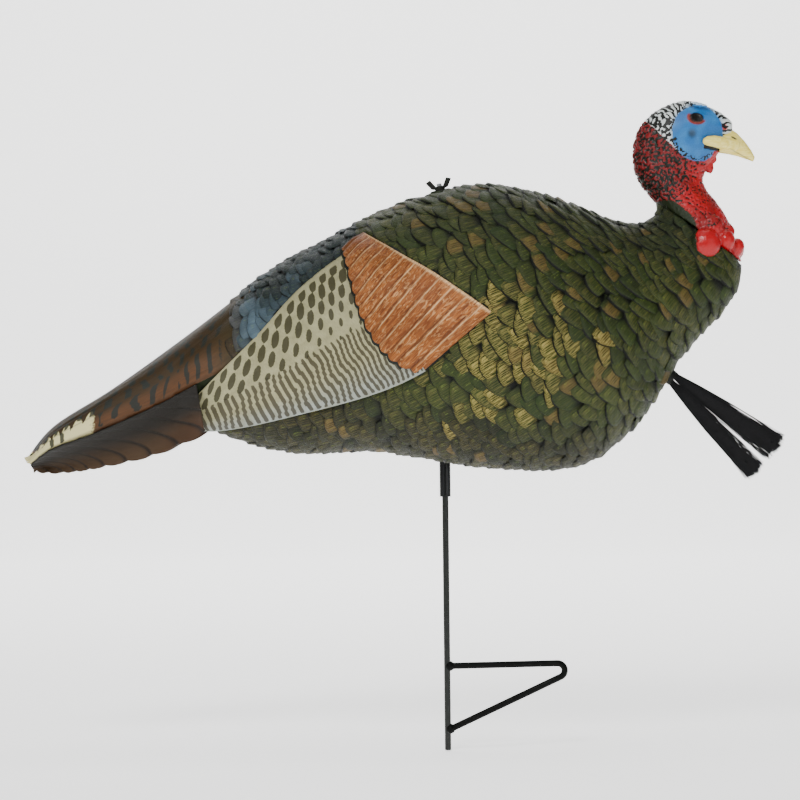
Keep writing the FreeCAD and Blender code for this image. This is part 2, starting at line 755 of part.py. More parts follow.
def make_tuft(label, side):
    """Half of the beard: a bundle that starts as half of the ferrule's hollow and fans out."""
    spread = side * size("tuft_spread") / 2
    root = along(beard_placement(), size("seam_gap") + size("ferrule_floor") + size("tuft_lift"))
    aside = Vector(-side * size("tuft_apart") / 2, 0, 0)
    fan = root.multiply(Placement(aside, Rotation(Vector(0, 1, 0), -spread)))
    ovals = [oval_curve(along(fan, share * size("tuft_length")), *halves) for share, *halves in TUFT]
    return solid_of(label, loft(ovals))


def build():
    pieces = [make_stake_rod()]
    loop = make_foot_loop()
    pieces += [loop, make_weld("step_weld", loop, d.loop_height)]
    pieces += [make_weld("brace_weld", loop, d.loop_foot + 1.7), make_thrust_button()]
    pieces += [make_support_tube(), make_tube_plug(), make_back_bolt(), make_backing_washer()]
    pieces += [make_back_washer(), make_wing_nut()]
    pieces += [make_body_shell(), make_belly_bush(), make_neck_collar()]
    pieces += [make_head_shell(), make_neck_plug(), make_eye("eye_right", -1), make_eye("eye_left", 1)]
    pieces += [make_beard_grommet(), make_beard_plug()]
    pieces += [make_tuft("beard_upper_tuft", 1), make_tuft("beard_lower_tuft", -1)]
    return pieces


def export(pieces):
    doc.recompute()
    for item in doc.Objects:
        if {"Invalid", "Error"} & set(item.State):
            raise RuntimeError(f"{item.Label} failed: {item.State}")
    for piece in pieces:
        if piece.Shape.isNull() or not piece.Shape.isValid() or not piece.Shape.Solids:
            raise RuntimeError(f"{piece.Label} has no valid solid")
    os.makedirs(OUT_FOLDER, exist_ok=True)
    for old in os.listdir(OUT_FOLDER):
        os.remove(os.path.join(OUT_FOLDER, old))
    for piece in pieces:
        piece.Shape.exportStep(os.path.join(OUT_FOLDER, f"{piece.Label}.step"))
        box = piece.Shape.BoundBox
        sides = f"{box.XLength:6.1f} x {box.YLength:6.1f} x {box.ZLength:6.1f} mm"
        print(f"{piece.Label:18s} {len(piece.Shape.Solids)} solid {piece.Shape.Volume / 1000:9.2f} cm3 {sides}")


export(build())
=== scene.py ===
import json
import math
import random

import bmesh
import bpy
from mathutils import Matrix, Vector, noise
from mathutils.bvhtree import BVHTree


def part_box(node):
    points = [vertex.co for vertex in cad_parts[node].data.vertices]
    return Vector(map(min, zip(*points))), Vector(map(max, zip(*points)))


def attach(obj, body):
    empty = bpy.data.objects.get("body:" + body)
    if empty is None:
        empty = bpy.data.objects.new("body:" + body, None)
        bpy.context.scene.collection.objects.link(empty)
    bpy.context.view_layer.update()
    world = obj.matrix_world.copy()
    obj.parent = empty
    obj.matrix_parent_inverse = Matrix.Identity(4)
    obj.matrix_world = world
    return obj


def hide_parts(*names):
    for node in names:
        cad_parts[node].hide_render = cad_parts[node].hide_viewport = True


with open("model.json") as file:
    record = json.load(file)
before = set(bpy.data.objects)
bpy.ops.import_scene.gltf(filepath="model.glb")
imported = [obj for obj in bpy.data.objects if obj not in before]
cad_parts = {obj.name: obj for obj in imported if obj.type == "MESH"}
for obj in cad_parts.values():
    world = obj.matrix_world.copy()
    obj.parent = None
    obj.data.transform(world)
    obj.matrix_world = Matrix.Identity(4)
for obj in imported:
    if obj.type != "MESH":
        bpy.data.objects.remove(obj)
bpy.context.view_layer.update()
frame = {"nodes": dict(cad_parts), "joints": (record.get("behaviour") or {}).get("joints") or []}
nodes = frame["nodes"]
scene = bpy.context.scene
random.seed(11)
mm = 0.001

# the camera stands 3 m to the bird's right, level, a touch out of plumb
viewer = {"place": (-0.0442, -3.0, 0.3505), "lens": 135, "tilt": 0.64}
eyePoint = Vector(viewer["place"])
cameraData = bpy.data.cameras.new("camera")
cameraData.lens = viewer["lens"]
cameraData.sensor_width = 36
camera = bpy.data.objects.new("camera", cameraData)
scene.collection.objects.link(camera)
camera.matrix_world = (Matrix.Translation(eyePoint) @ Matrix.Rotation(math.radians(90), 4, "X")
                       @ Matrix.Rotation(math.radians(-viewer["tilt"]), 4, "Z"))
scene.camera = camera


def linear(code):
    parts = [int(code[i:i + 2], 16) / 255 for i in (1, 3, 5)]
    return tuple(p / 12.92 if p <= 0.04045 else ((p + 0.055) / 1.055) ** 2.4 for p in parts)


def blendColour(a, b, share):
    share = min(1.0, max(0.0, share))
    return tuple(p + (q - p) * share for p, q in zip(a, b))


def smoothStep(low, high, value):
    t = min(1.0, max(0.0, (value - low) / (high - low)))
    return t * t * (3 - 2 * t)


def curveAt(points, t):
    # a smooth curve through evenly spaced control points
    count = len(points) - 1
    i = min(count - 1, max(0, int(t * count)))
    f = t * count - i
    rows = [Vector(points[min(count, max(0, j))]) for j in (i - 1, i, i + 1, i + 2)]
    return 0.5 * (2 * rows[1] + (rows[2] - rows[0]) * f
                  + (2 * rows[0] - 5 * rows[1] + 4 * rows[2] - rows[3]) * f * f
                  + (3 * rows[1] - rows[0] - 3 * rows[2] + rows[3]) * f ** 3)


def addNode(tree, kind, inputs=None, **settings):
    node = tree.nodes.new("ShaderNode" + kind)
    for key, value in settings.items():
        setattr(node, key, value)
    for key, value in (inputs or {}).items():
        socket = node.inputs[key]
        if isinstance(value, bpy.types.NodeSocket):
            tree.links.new(value, socket)
        else:
            socket.default_value = (*value, 1.0) if socket.type == "RGBA" and len(value) == 3 else value
    return node


def newMaterial(name):
    material = bpy.data.materials.new(name)
    material.use_nodes = True
    tree = material.node_tree
    return material, tree, tree.nodes["Principled BSDF"]


def finishShader(tree, shader, inputs):
    for key, value in inputs.items():
        if isinstance(value, bpy.types.NodeSocket):
            tree.links.new(value, shader.inputs[key])
        else:
            shader.inputs[key].default_value = (*value, 1.0) if isinstance(value, tuple) else value


def putInScene(name, bm, body, material, smooth=True):
    mesh = bpy.data.meshes.new(name)
    bm.to_mesh(mesh)
    bm.free()
    for polygon in mesh.polygons:
        polygon.use_smooth = smooth
    piece = bpy.data.objects.new(name, mesh)
    scene.collection.objects.link(piece)
    mesh.materials.append(material)
    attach(piece, body)
    return piece


print("stage: the smooth skin that the feathers lie on")
# upper and lower point of each rib, in mm, from the tail to the neck
skin = {
    "ribs": [((-413, 302), (-411, 291)), ((-385, 327), (-393, 286)), ((-334, 360), (-339, 290)),
             ((-279, 400), (-280, 303)), ((-233, 432), (-234, 321)), ((-188, 471), (-195, 311)),
             ((-132, 504), (-137, 300)), ((-72, 534), (-77, 302)), ((-12, 556), (-15, 293)),
             ((48, 564), (45, 284)), ((108, 552), (105, 281)), ((158, 533), (157, 296)),
             ((186, 526), (206, 345)), ((196, 525), (224, 373)), ((204, 527), (253, 411)),
             ((213, 536), (285, 445)), ((213, 545), (299, 483))],
    "along": 150, "around": 120, "reach": 0.17, "sunk": 3.0, "collar": 23.0, "collarDepth": 15.0,
}
shell = nodes["body_shell"]
shellMesh = shell.data
shellTree = BVHTree.FromPolygons([shell.matrix_world @ v.co for v in shellMesh.vertices],
                                 [p.vertices[:] for p in shellMesh.polygons])


def ribAt(t):
    i = min(len(skin["ribs"]) - 2, int(t))
    (ua, la), (ub, lb) = skin["ribs"][i], skin["ribs"][i + 1]
    upper = Vector(ua).lerp(Vector(ub), t - i) * mm
    lower = Vector(la).lerp(Vector(lb), t - i) * mm
    up = Vector((upper.x - lower.x, 0, upper.y - lower.y)).normalized()
    middle = Vector(((upper.x + lower.x) / 2, 0, (upper.y + lower.y) / 2))
    return middle, up


skinBm = bmesh.new()
bmesh.ops.create_grid(skinBm, x_segments=skin["along"], y_segments=skin["around"], size=1)
lastRib = len(skin["ribs"]) - 1
for vert in skinBm.verts:
    t = 0.02 + (vert.co.x + 1) / 2 * (lastRib - 0.04)
    angle = vert.co.y * math.pi
    middle, up = ribAt(t)
    out = up * math.cos(angle) + Vector((0, 1, 0)) * math.sin(angle)
    hit = shellTree.ray_cast(middle + out * skin["reach"], -out)[0]
    vert.co = hit if hit else middle + out * 0.01
bmesh.ops.remove_doubles(skinBm, verts=skinBm.verts, dist=1e-5)
bmesh.ops.recalc_face_normals(skinBm, faces=skinBm.faces)
highest = max(skinBm.faces, key=lambda f: f.calc_center_median().z)
if highest.normal.z < 0:
    bmesh.ops.reverse_faces(skinBm, faces=skinBm.faces)
skinBm.normal_update()
for vert in skinBm.verts:
    vert.co -= vert.normal * skin["sunk"] * mm
skinBm.normal_update()
skinBm.verts.ensure_lookup_table()
skinPoints = [v.co.copy() for v in skinBm.verts]
skinTree = BVHTree.FromBMesh(skinBm)
skinNormals = [v.normal.copy() for v in skinBm.verts]
skinFaces = [[v.index for v in f.verts] for f in skinBm.faces]
skinAreas = [f.calc_area() for f in skinBm.faces]


def onSkin(point):
    # nearest point of the skin and its smooth outward normal
    place, _, index, _ = skinTree.find_nearest(point)
    total = Vector()
    for i in skinFaces[index]:
        total += skinNormals[i] / ((skinPoints[i] - place).length + 1e-4)
    return place, total.normalized()


def besideSkin(x, z, side):
    # where a sight line through (x, z) meets the bird's side; side -1 is the bird's right
    target = Vector((x * mm, 0, z * mm))
    place = skinTree.ray_cast(eyePoint, target - eyePoint)[0]
    if place is None:
        place = onSkin(target)[0]
    place, normal = onSkin(place)
    if side > 0:
        place, normal = Vector((place.x, -place.y, place.z)), Vector((normal.x, -normal.y, normal.z))
    return place, normal


print("stage: paint and finish")


def speckle(tree, coords, scale, detail, **more):
    inputs = {"Vector": coords, "Scale": scale, "Detail": detail, **more}
    return addNode(tree, "TexNoise", inputs).outputs["Fac"]


def strandBump(tree, coords, scale, strength, distance, detail=4.0):
    strands = speckle(tree, coords, scale, detail, Roughness=0.6)
    bump = addNode(tree, "Bump", {"Height": strands, "Strength": strength, "Distance": distance})
    return strands, bump.outputs["Normal"]


def stretched(tree, coords, scale):
    return addNode(tree, "Mapping", {"Vector": coords, "Scale": scale}).outputs["Vector"]


def mixed(tree, share, low, high, mode="MIX"):
    return addNode(tree, "Mix", {0: share, 6: low, 7: high}, data_type="RGBA", blend_type=mode).outputs[2]


def ramped(tree, value, low, high, toLow=0.0, toHigh=1.0):
    node = addNode(tree, "MapRange", {"Value": value, "From Min": low, "From Max": high, "To Min": toLow,
                                      "To Max": toHigh}, interpolation_type="SMOOTHSTEP")
    return node.outputs["Result"]


def times(tree, a, b, operation="MULTIPLY"):
    return addNode(tree, "Math", {0: a, 1: b}, operation=operation).outputs[0]


def marksOf(tree):
    # the three fields that a painted piece carries in its marks attribute
    marks = addNode(tree, "Attribute", attribute_name="marks").outputs["Color"]
    fields = addNode(tree, "SeparateColor", {"Color": marks})
    return [fields.outputs[k] for k in ("Red", "Green", "Blue")]


def paintOf(tree):
    return addNode(tree, "Attribute", attribute_name="paint").outputs["Color"]


def featherUv(tree):
    return addNode(tree, "UVMap", uv_map="feather").outputs["UV"]


def objectPlace(tree):
    return addNode(tree, "TexCoord").outputs["Object"]


def plumagePaint():
    # hand-painted moulded polyethylene: satin, with metallic paint rubbed on the high feathers
    material, tree, shader = newMaterial("paintedPlumage")
    paint = paintOf(tree)
    bronze, gold, lit = marksOf(tree)
    uv = featherUv(tree)
    place = objectPlace(tree)
    barbs, bump = strandBump(tree, stretched(tree, uv, (38, 3.2, 1)), 1.0, 0.8, 0.0012)
    broad = speckle(tree, place, 60.0, 3.0)
    fine = speckle(tree, place, 420.0, 3.0)
    uvParts = addNode(tree, "SeparateXYZ", {"Vector": uv})
    fromMiddle = times(tree, addNode(tree, "Math", {0: times(tree, uvParts.outputs["X"], 0.5, "SUBTRACT")},
                                     operation="ABSOLUTE").outputs[0], 2.0)
    heart = times(tree, ramped(tree, fromMiddle, 0.85, 0.35), ramped(tree, uvParts.outputs["Y"], 0.97, 0.8))
    colour = mixed(tree, ramped(tree, broad, 0.3, 0.75, 0.0, 0.45), paint, linear("#10180a"))
    colour = mixed(tree, times(tree, times(tree, bronze, heart), ramped(tree, barbs, 0.25, 0.6)),
                   colour, linear("#5f4c26"))
    colour = mixed(tree, times(tree, gold, ramped(tree, barbs, 0.42, 0.62)), colour, linear("#a39353"))
    rubbed = times(tree, times(tree, ramped(tree, barbs, 0.55, 0.72), ramped(tree, fine, 0.45, 0.62)), lit)
    colour = mixed(tree, times(tree, rubbed, 0.85), colour, linear("#748a3c"))
    colour = mixed(tree, ramped(tree, barbs, 0.25, 0.75, 0.25, 0.0), colour, linear("#11160c"))
    # painted shade: where the lit field is low, at the feather's root and on the slope past its tip, the
    # paint goes black
    colour = mixed(tree, ramped(tree, lit, 0.75, 0.2), colour, linear("#0b0e09"))
    finishShader(tree, shader, {
        "Base Color": colour, "Normal": bump, "Metallic": times(tree, gold, 0.55),
        "Roughness": ramped(tree, fine, 0.3, 0.7, 0.42, 0.62), "Specular IOR Level": 0.22, "IOR": 1.49})
    return material


def skinPaint(name, code, rough):
    # the moulding's own colour where no feather stands
    material, tree, shader = newMaterial(name)
    place = objectPlace(tree)
    fac, bump = strandBump(tree, place, 180.0, 0.5, 0.001)
    colour = mixed(tree, ramped(tree, fac, 0.3, 0.7), linear("#0d110a"), linear(code))
    finishShader(tree, shader, {"Base Color": colour, "Normal": bump, "Roughness": rough, "IOR": 1.49,
                                "Specular IOR Level": 0.2})
    return material


def wingPaint():
    # cream paint with olive-brown spots and bars on the moulded wing
    material, tree, shader = newMaterial("paintedWing")
    spot, bar, low = marksOf(tree)
    place = objectPlace(tree)
    uv = featherUv(tree)
    fine = speckle(tree, place, 700.0, 3.0)
    broad = speckle(tree, place, 90.0, 2.0)
    barbs, bump = strandBump(tree, stretched(tree, uv, (260, 30, 1)), 1.0, 0.5, 0.0006)
    wobble = times(tree, times(tree, fine, 0.5, "SUBTRACT"), 0.5)
    ink = ramped(tree, times(tree, spot, wobble, "ADD"), 0.22, 0.4)
    stripe = ramped(tree, times(tree, bar, wobble, "ADD"), 0.26, 0.46)
    ground = mixed(tree, low, linear("#a39e74"), linear("#949c98"))
    ground = mixed(tree, ramped(tree, broad, 0.35, 0.7, 0.0, 0.35), ground, linear("#7b7753"))
    ground = mixed(tree, ramped(tree, barbs, 0.35, 0.6, 0.22, 0.0), ground, linear("#56523a"))
    colour = mixed(tree, times(tree, stripe, 0.86), ground, linear("#2e2616"))
    colour = mixed(tree, times(tree, ink, 0.9), colour, linear("#2c2914"))
    finishShader(tree, shader, {"Base Color": colour, "Normal": bump, "Roughness": 0.5, "IOR": 1.49,
                                "Specular IOR Level": 0.25})
    return material


def copperPaint():
    # copper-coloured metallic paint with fine combed strands
    material, tree, shader = newMaterial("copperPaint")
    uv = featherUv(tree)
    place = objectPlace(tree)
    seamShade, light, _ = marksOf(tree)
    combed, bump = strandBump(tree, stretched(tree, uv, (150, 5, 1)), 1.0, 1.0, 0.0012, 6.0)
    cross = speckle(tree, stretched(tree, uv, (80, 14, 1)), 1.0, 6.0, Distortion=0.9)
    broad = speckle(tree, place, 35.0, 2.0)
    colour = mixed(tree, ramped(tree, combed, 0.3, 0.7), linear("#54270c"), linear("#a9652e"))
    colour = mixed(tree, ramped(tree, cross, 0.5, 0.7, 0.0, 0.7), colour, linear("#cf9d68"))
    colour = mixed(tree, ramped(tree, broad, 0.4, 0.7, 0.0, 0.55), colour, linear("#6d3510"))
    # painted shade in the seams and over the top end, then a painted highlight beside each seam
    colour = mixed(tree, times(tree, seamShade, 0.85), colour, linear("#351605"))
    colour = mixed(tree, times(tree, light, ramped(tree, combed, 0.3, 0.6)), colour, linear("#e8c590"))
    finishShader(tree, shader, {"Base Color": colour, "Normal": bump, "Metallic": 0.3, "Roughness": 0.42,
                                "Specular IOR Level": 0.3})
    return material


def tailPaint():
    # brown paint with black dashes and cream tips; the marks attribute says where
    material, tree, shader = newMaterial("paintedTail")
    paint = paintOf(tree)
    dash, grooveAndShade, cream = marksOf(tree)
    place = objectPlace(tree)
    uv = featherUv(tree)
    fine = speckle(tree, place, 500.0, 4.0)
    strands, bump = strandBump(tree, stretched(tree, uv, (12, 220, 1)), 1.0, 0.6, 0.0008)
    wobble = times(tree, times(tree, fine, 0.5, "SUBTRACT"), 0.7)
    colour = mixed(tree, ramped(tree, strands, 0.35, 0.65, 0.35, 0.0), paint, linear("#2c2318"))
    colour = mixed(tree, ramped(tree, times(tree, cream, wobble, "ADD"), 0.4, 0.7), colour, linear("#d8cf98"))
    colour = mixed(tree, times(tree, ramped(tree, times(tree, dash, wobble, "ADD"), 0.42, 0.6), 0.92),
                   colour, linear("#1d231f"))
    # dark in the grooves between the feathers, darker towards the roof's sides, with painted shade under the
    # eave on the fan
    colour = mixed(tree, times(tree, grooveAndShade, 0.9), colour, linear("#120f0a"))
    finishShader(tree, shader, {"Base Color": colour, "Normal": bump, "Roughness": 0.5, "IOR": 1.49,
                                "Specular IOR Level": 0.25})
    return material


def headPaint():
    # soft vinyl, painted; the recess attribute darkens between the bumps
    material, tree, shader = newMaterial("paintedHead")
    paint = paintOf(tree)
    recess, gloss, deep = marksOf(tree)
    place = objectPlace(tree)
    fine = speckle(tree, place, 900.0, 3.0)
    bump = addNode(tree, "Bump", {"Height": fine, "Strength": 0.35, "Distance": 0.0006}).outputs["Normal"]
    wobble = times(tree, times(tree, fine, 0.5, "SUBTRACT"), 0.6)
    darker = mixed(tree, deep, linear("#10150a"), linear("#070906"))
    colour = mixed(tree, ramped(tree, fine, 0.35, 0.7, 0.18, 0.0), paint, linear("#20180f"))
    colour = mixed(tree, ramped(tree, times(tree, recess, wobble, "ADD"), 0.45, 0.65), colour, darker)
    finishShader(tree, shader, {"Base Color": colour, "Normal": bump, "IOR": 1.49, "Specular IOR Level": 0.35,
                                "Roughness": ramped(tree, gloss, 0, 1, 0.5, 0.2)})
    return material


def hardPaint(name, low, high, rough, metallic=0.0, grain=260.0, depth=0.3, coat=0.0, specular=0.25):
    # one recipe for the painted, plated and moulded hardware, with grain and small wear
    material, tree, shader = newMaterial(name)
    place = objectPlace(tree)
    fac, bump = strandBump(tree, place, grain, depth, 0.0004)
    wear = speckle(tree, place, grain / 5, 5.0)
    colour = mixed(tree, ramped(tree, fac, 0.3, 0.7), linear(low), linear(high))
    worn = ramped(tree, wear, 0.3, 0.7, rough * 0.8, min(1.0, rough * 1.25))
    finishShader(tree, shader, {"Base Color": colour, "Normal": bump, "Metallic": metallic, "Roughness": worn,
                                "Specular IOR Level": specular, "Coat Weight": coat, "Coat Roughness": 0.1})
    return material


def beakPaint():
    # cream paint over horn-like streaks, darker in the nostril and mouth line, with painted shade under the
    # rear of the beak
    material, tree, shader = newMaterial("creamBeak")
    place = objectPlace(tree)
    dark = marksOf(tree)[0]
    streaks, bump = strandBump(tree, stretched(tree, place, (60, 500, 500)), 1.0, 0.35, 0.0005)
    colour = mixed(tree, ramped(tree, streaks, 0.35, 0.7), linear("#ecd65c"), linear("#fff194"))
    colour = mixed(tree, dark, colour, linear("#2a1f10"))
    finishShader(tree, shader, {"Base Color": colour, "Normal": bump, "Roughness": 0.42, "IOR": 1.5})
    return material


paints = {
    "plumage": plumagePaint(), "wing": wingPaint(), "copper": copperPaint(), "tail": tailPaint(),
    "head": headPaint(), "beak": beakPaint(), "skin": skinPaint("mouldedBody", "#2c371d", 0.6),
    "outline": hardPaint("blackEdgePaint", "#0b0f0b", "#171d14", 0.6),
    "loop": hardPaint("blackLoopPaint", "#030403", "#080a07", 0.5, grain=500.0, specular=0.1),
    "stake": hardPaint("bakedStakePaint", "#0a0d0a", "#141914", 0.3, grain=500.0, specular=0.35),
    "tube": hardPaint("blackTubeEnamel", "#0c0d0d", "#16181a", 0.22, grain=300.0, depth=0.15, coat=0.25),
    "plastic": hardPaint("mouldedBlackPlastic", "#10120f", "#1b1e19", 0.5),
    "nut": hardPaint("oliveNutPlastic", "#0c0e08", "#181b10", 0.45),
    "nylon": hardPaint("whiteNylon", "#cfcdc4", "#e2e0d8", 0.45),
    "zinc": hardPaint("platedZinc", "#8d8f90", "#b1b3b4", 0.35, metallic=1.0, specular=0.5),
    "eye": hardPaint("polishedBlackAcrylic", "#050403", "#0b0705", 0.06, depth=0.0, coat=0.3, specular=0.3),
    "bristle": hardPaint("blackNylonBristle", "#0b0b0c", "#17171a", 0.34, grain=900.0),
}
for paintName, nodeNames in {
    "stake": ["stake_rod"], "loop": ["foot_loop", "step_weld", "brace_weld"], "nylon": ["thrust_button"],
    "tube": ["support_tube"], "zinc": ["back_bolt", "backing_washer"], "skin": ["body_shell"],
    "plastic": ["tube_plug", "belly_bush", "neck_collar", "beard_grommet", "neck_plug", "beard_plug"],
    "nut": ["back_washer", "wing_nut"], "eye": ["eye_right", "eye_left"],
}.items():
    for nodeName in nodeNames:
        nodes[nodeName].data.materials.clear()
        nodes[nodeName].data.materials.append(paints[paintName])

print("stage: the moulded shell under the feathers")
plugAxis = Vector(next(j["axis"] for j in frame["joints"] if j["name"] == "head_pull"))
mouth = Vector(((skin["ribs"][-1][0][0] + skin["ribs"][-1][1][0]) / 2, 0,
                (skin["ribs"][-1][0][1] + skin["ribs"][-1][1][1]) / 2)) * mm
ends = [e for e in skinBm.edges if e.is_boundary]
rim = [e for e in ends if e.verts[0].co.x > 0]
bmesh.ops.holes_fill(skinBm, edges=[e for e in ends if e.verts[0].co.x < 0])
lip = bmesh.ops.extrude_edge_only(skinBm, edges=rim)["geom"]
for vert in (g for g in lip if isinstance(g, bmesh.types.BMVert)):
    out = vert.co - mouth
    out -= plugAxis * out.dot(plugAxis)
    vert.co = mouth + out.normalized() * skin["collar"] * mm - plugAxis * 0.4 * mm
lipEdges = [g for g in lip if isinstance(g, bmesh.types.BMEdge)]
bore = bmesh.ops.extrude_edge_only(skinBm, edges=lipEdges)["geom"]
bmesh.ops.translate(skinBm, verts=[g for g in bore if isinstance(g, bmesh.types.BMVert)],
                    vec=-plugAxis * skin["collarDepth"] * mm)
shellPiece = putInScene("bodyShell", skinBm, "decoy", paints["skin"])
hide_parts("body_shell")

# the flat pad that the washer sits on
washerLow, washerHigh = (Vector(c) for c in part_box("back_washer"))
boltAxis = Vector(next(j["axis"] for j in frame["joints"] if j["name"] == "nut_turn"))
seat = (washerLow + washerHigh) / 2 - boltAxis * 0.62 * mm
padBm = bmesh.new()
bmesh.ops.create_cone(padBm, segments=48, radius1=14 * mm, radius2=12.6 * mm, depth=9 * mm, cap_ends=True,
                      matrix=Matrix.Translation(seat - boltAxis * 4.5 * mm)
                      @ boltAxis.to_track_quat("Z", "Y").to_matrix().to_4x4())
sharp = [e for e in padBm.edges if e.calc_face_angle() > 0.5]
bmesh.ops.bevel(padBm, geom=sharp, offset=0.7 * mm, segments=2, profile=0.5, affect="EDGES", material=-1)
putInScene("washerPad", padBm, "decoy", paints["skin"])

print("stage: wing, copper patch and tail surfaces")


def makePatch(name, cuts, place, mark, thick, body, material, paintAt=None):
    # place(u, v) gives a point, mark(u, v) three fields for the paint and paintAt(u, v) a colour
    bm = bmesh.new()
    uvLayer = bm.loops.layers.uv.new("feather")
    bmesh.ops.create_grid(bm, x_segments=cuts[0], y_segments=cuts[1], size=1)
    marks = bm.verts.layers.float_color.new("marks")
    paint = bm.verts.layers.float_color.new("paint")
    spots = {}
    for vert in bm.verts:
        u, v = (vert.co.x + 1) / 2, (vert.co.y + 1) / 2
        spots[vert] = (u, v)
        vert.co = place(u, v)
        vert[marks] = (*mark(u, v), 1.0)
        vert[paint] = (*(paintAt(u, v) if paintAt else (0.5, 0.5, 0.5)), 1.0)
    for face in bm.faces:
        for loop in face.loops:
            loop[uvLayer].uv = spots[loop.vert]
    bm.normal_update()
    middle = bm.faces[:][len(bm.faces) // 2]
    if middle.normal.dot(middle.calc_center_median() - Vector((-0.05, 0, 0.4))) < 0:
        bmesh.ops.reverse_faces(bm, faces=bm.faces[:])
    if thick:
        bmesh.ops.solidify(bm, geom=bm.faces[:], thickness=thick)
        bmesh.ops.recalc_face_normals(bm, faces=bm.faces[:])
    return putInScene(name, bm, body, material)


# outline of the folded wing from its rear tip forwards, in mm; the copper patch covers its front end
wing = {
    "low": [(-248, 327.5, 0), (-203, 328, 0), (-142, 341, 0), (-84, 355.5, 0), (-46, 368, 0), (-18, 381, 0)],
    "high": [(-256, 350, 0), (-226, 378.5, 0), (-186, 416, 0), (-149, 456, 0), (-118, 482, 0), (-88, 502, 0)],
    "stand": 2.2, "lip": 4.6, "thick": 2.2, "rows": 10.6, "pitch": 14.5, "bars": 11.8, "cuts": (170, 110),
}


def wingSpot(u, v):
    low, high = curveAt(wing["low"], u), curveAt(wing["high"], u)
    bow = 7.0 * math.sin(math.pi * v) * (1 - u) ** 3
    spot = low.lerp(high, v)
    return Vector((spot.x - bow, spot.y, 0)), (high - low).length


def wingPlace(side):
    def place(u, v):
        spot, width = wingSpot(u, v)
        point, normal = besideSkin(spot.x, spot.y, side)
        lift = wing["stand"] + wing["lip"] * (1 - v) ** 3 + 1.2 * smoothStep(0.25, 0.0, u)
        quill = width * (1 - v) / 13.5
        lift += 0.5 * abs(math.sin(math.pi * quill)) * smoothStep(0.0, 0.12, v)
        return point + normal * lift * mm
    return place


def wingMarks(u, v):
    spot, width = wingSpot(u, v)
    across = (1 - v) * width * 0.9
    along = u * 215 + 0.25 * across
    row = across / wing["rows"]
    size = smoothStep(6.5, 1.0, row) * (0.6 + 0.4 * u) + 0.34
    fa = (along / wing["pitch"] + 0.5 * (int(row) % 2)) % 1 - 0.5
    fb = row % 1 - 0.5
    ring = math.hypot((fa * wing["pitch"] + fb * 2.2) / (3.6 * size), fb * wing["rows"] / (5.2 * size))
    edge = 0.53 - 0.05 * u
    spotField = smoothStep(1.25, 0.7, ring) * smoothStep(edge - 0.05, edge + 0.03, v)
    spotField *= smoothStep(0.02, 0.06, 1 - v)
    zig = abs(((1 - v) * width / 29.0 + 0.15) % 1 - 0.5) * 2
    lean = 0.35 + 0.75 * u
    wander = noise.noise(Vector((spot.x, spot.y, 3)) * 0.05)
    phase = spot.x + lean * spot.y * 0.62 + 5.0 * zig + 2.0 * wander
    barField = smoothStep(-0.25, 0.4, math.sin(phase * 2 * math.pi / wing["bars"])) \
        * smoothStep(edge + 0.05, edge - 0.06, v) * smoothStep(0.0, 0.03, v)
    return spotField, barField * smoothStep(0.0, 0.04, u), smoothStep(0.3, 0.0, v) * 0.8 + 0.12


copper = {
    "tips": [(-96, 499, 0), (-93, 488, 0), (-87, 462, 0), (-80, 437, 0), (-66, 411, 0),
             (-47.5, 392, 0), (-22, 379, 0)],
    "roots": [(-77.7, 515.6, 0), (-57, 504, 0), (-36, 492, 0), (-14, 480, 0), (8, 466, 0), (30, 451, 0),
              (49, 437.5, 0)],
    "strips": 13, "stand": 7.2, "thick": 1.6, "cuts": (156, 70), "edge": 2.6, "edgeCuts": (156, 20),
}


def copperPlace(side, grow=0.0):
    def place(u, v):
        tip, root = curveAt(copper["tips"], u), curveAt(copper["roots"], u ** 1.5)
        away = (tip - root).normalized()
        lobe = abs(math.sin(math.pi * copper["strips"] * u))
        tip = tip + away * (2.6 * lobe + grow)
        root = root - away * grow
        spot = tip.lerp(root, v)
        if grow:
            length = (curveAt(copper["tips"], 1) - curveAt(copper["tips"], 0)).normalized()
            spot += length * (u - 0.5) * 2 * grow * 0.7
        point, normal = besideSkin(spot.x, spot.y, side)
        ridge = lobe ** 0.6 * smoothStep(1.0, 0.5, v)
        lift = copper["stand"] - 3.2 * smoothStep(0.45, 1.0, v) + (1.1 * ridge if not grow else -1.3)
        if u > 0.9:
            lift -= 2.5 * smoothStep(0.9, 1.0, u)
        return point + normal * lift * mm
    return place


noMarks = lambda u, v: (0.0, 0.0, 0.0)


def copperMarks(u, v):
    # painted shade in the seam between the feathers, a painted highlight on the ridge beside it, painted
    # shade over the top end and a lighter root edge
    phase = copper["strips"] * u % 1
    seamShade = smoothStep(0.10, 0.02, min(phase, 1 - phase)) * smoothStep(0.95, 0.7, v)
    light = 0.7 * smoothStep(0.08, 0.02, abs(phase - 0.16)) * smoothStep(0.02, 0.2, v)
    top = smoothStep(0.16, 0.0, u)
    return max(0.8 * seamShade, 0.7 * top), max(light, smoothStep(0.95, 1.0, v)) * (1 - top), 0.0


for side, word in ((-1, "Right"), (1, "Left")):
    makePatch("wing" + word, wing["cuts"], wingPlace(side), wingMarks, wing["thick"] * mm, "decoy",
              paints["wing"])
    makePatch("copper" + word, copper["cuts"], copperPlace(side), copperMarks, copper["thick"] * mm, "decoy",
              paints["copper"])
    # the black band around each copper patch is a dark outline and also painted shade under the patch's
    # raised edge
    makePatch("copperEdge" + word, copper["edgeCuts"], copperPlace(side, copper["edge"]), noMarks,
              copper["thick"] * mm, "decoy", paints["outline"])

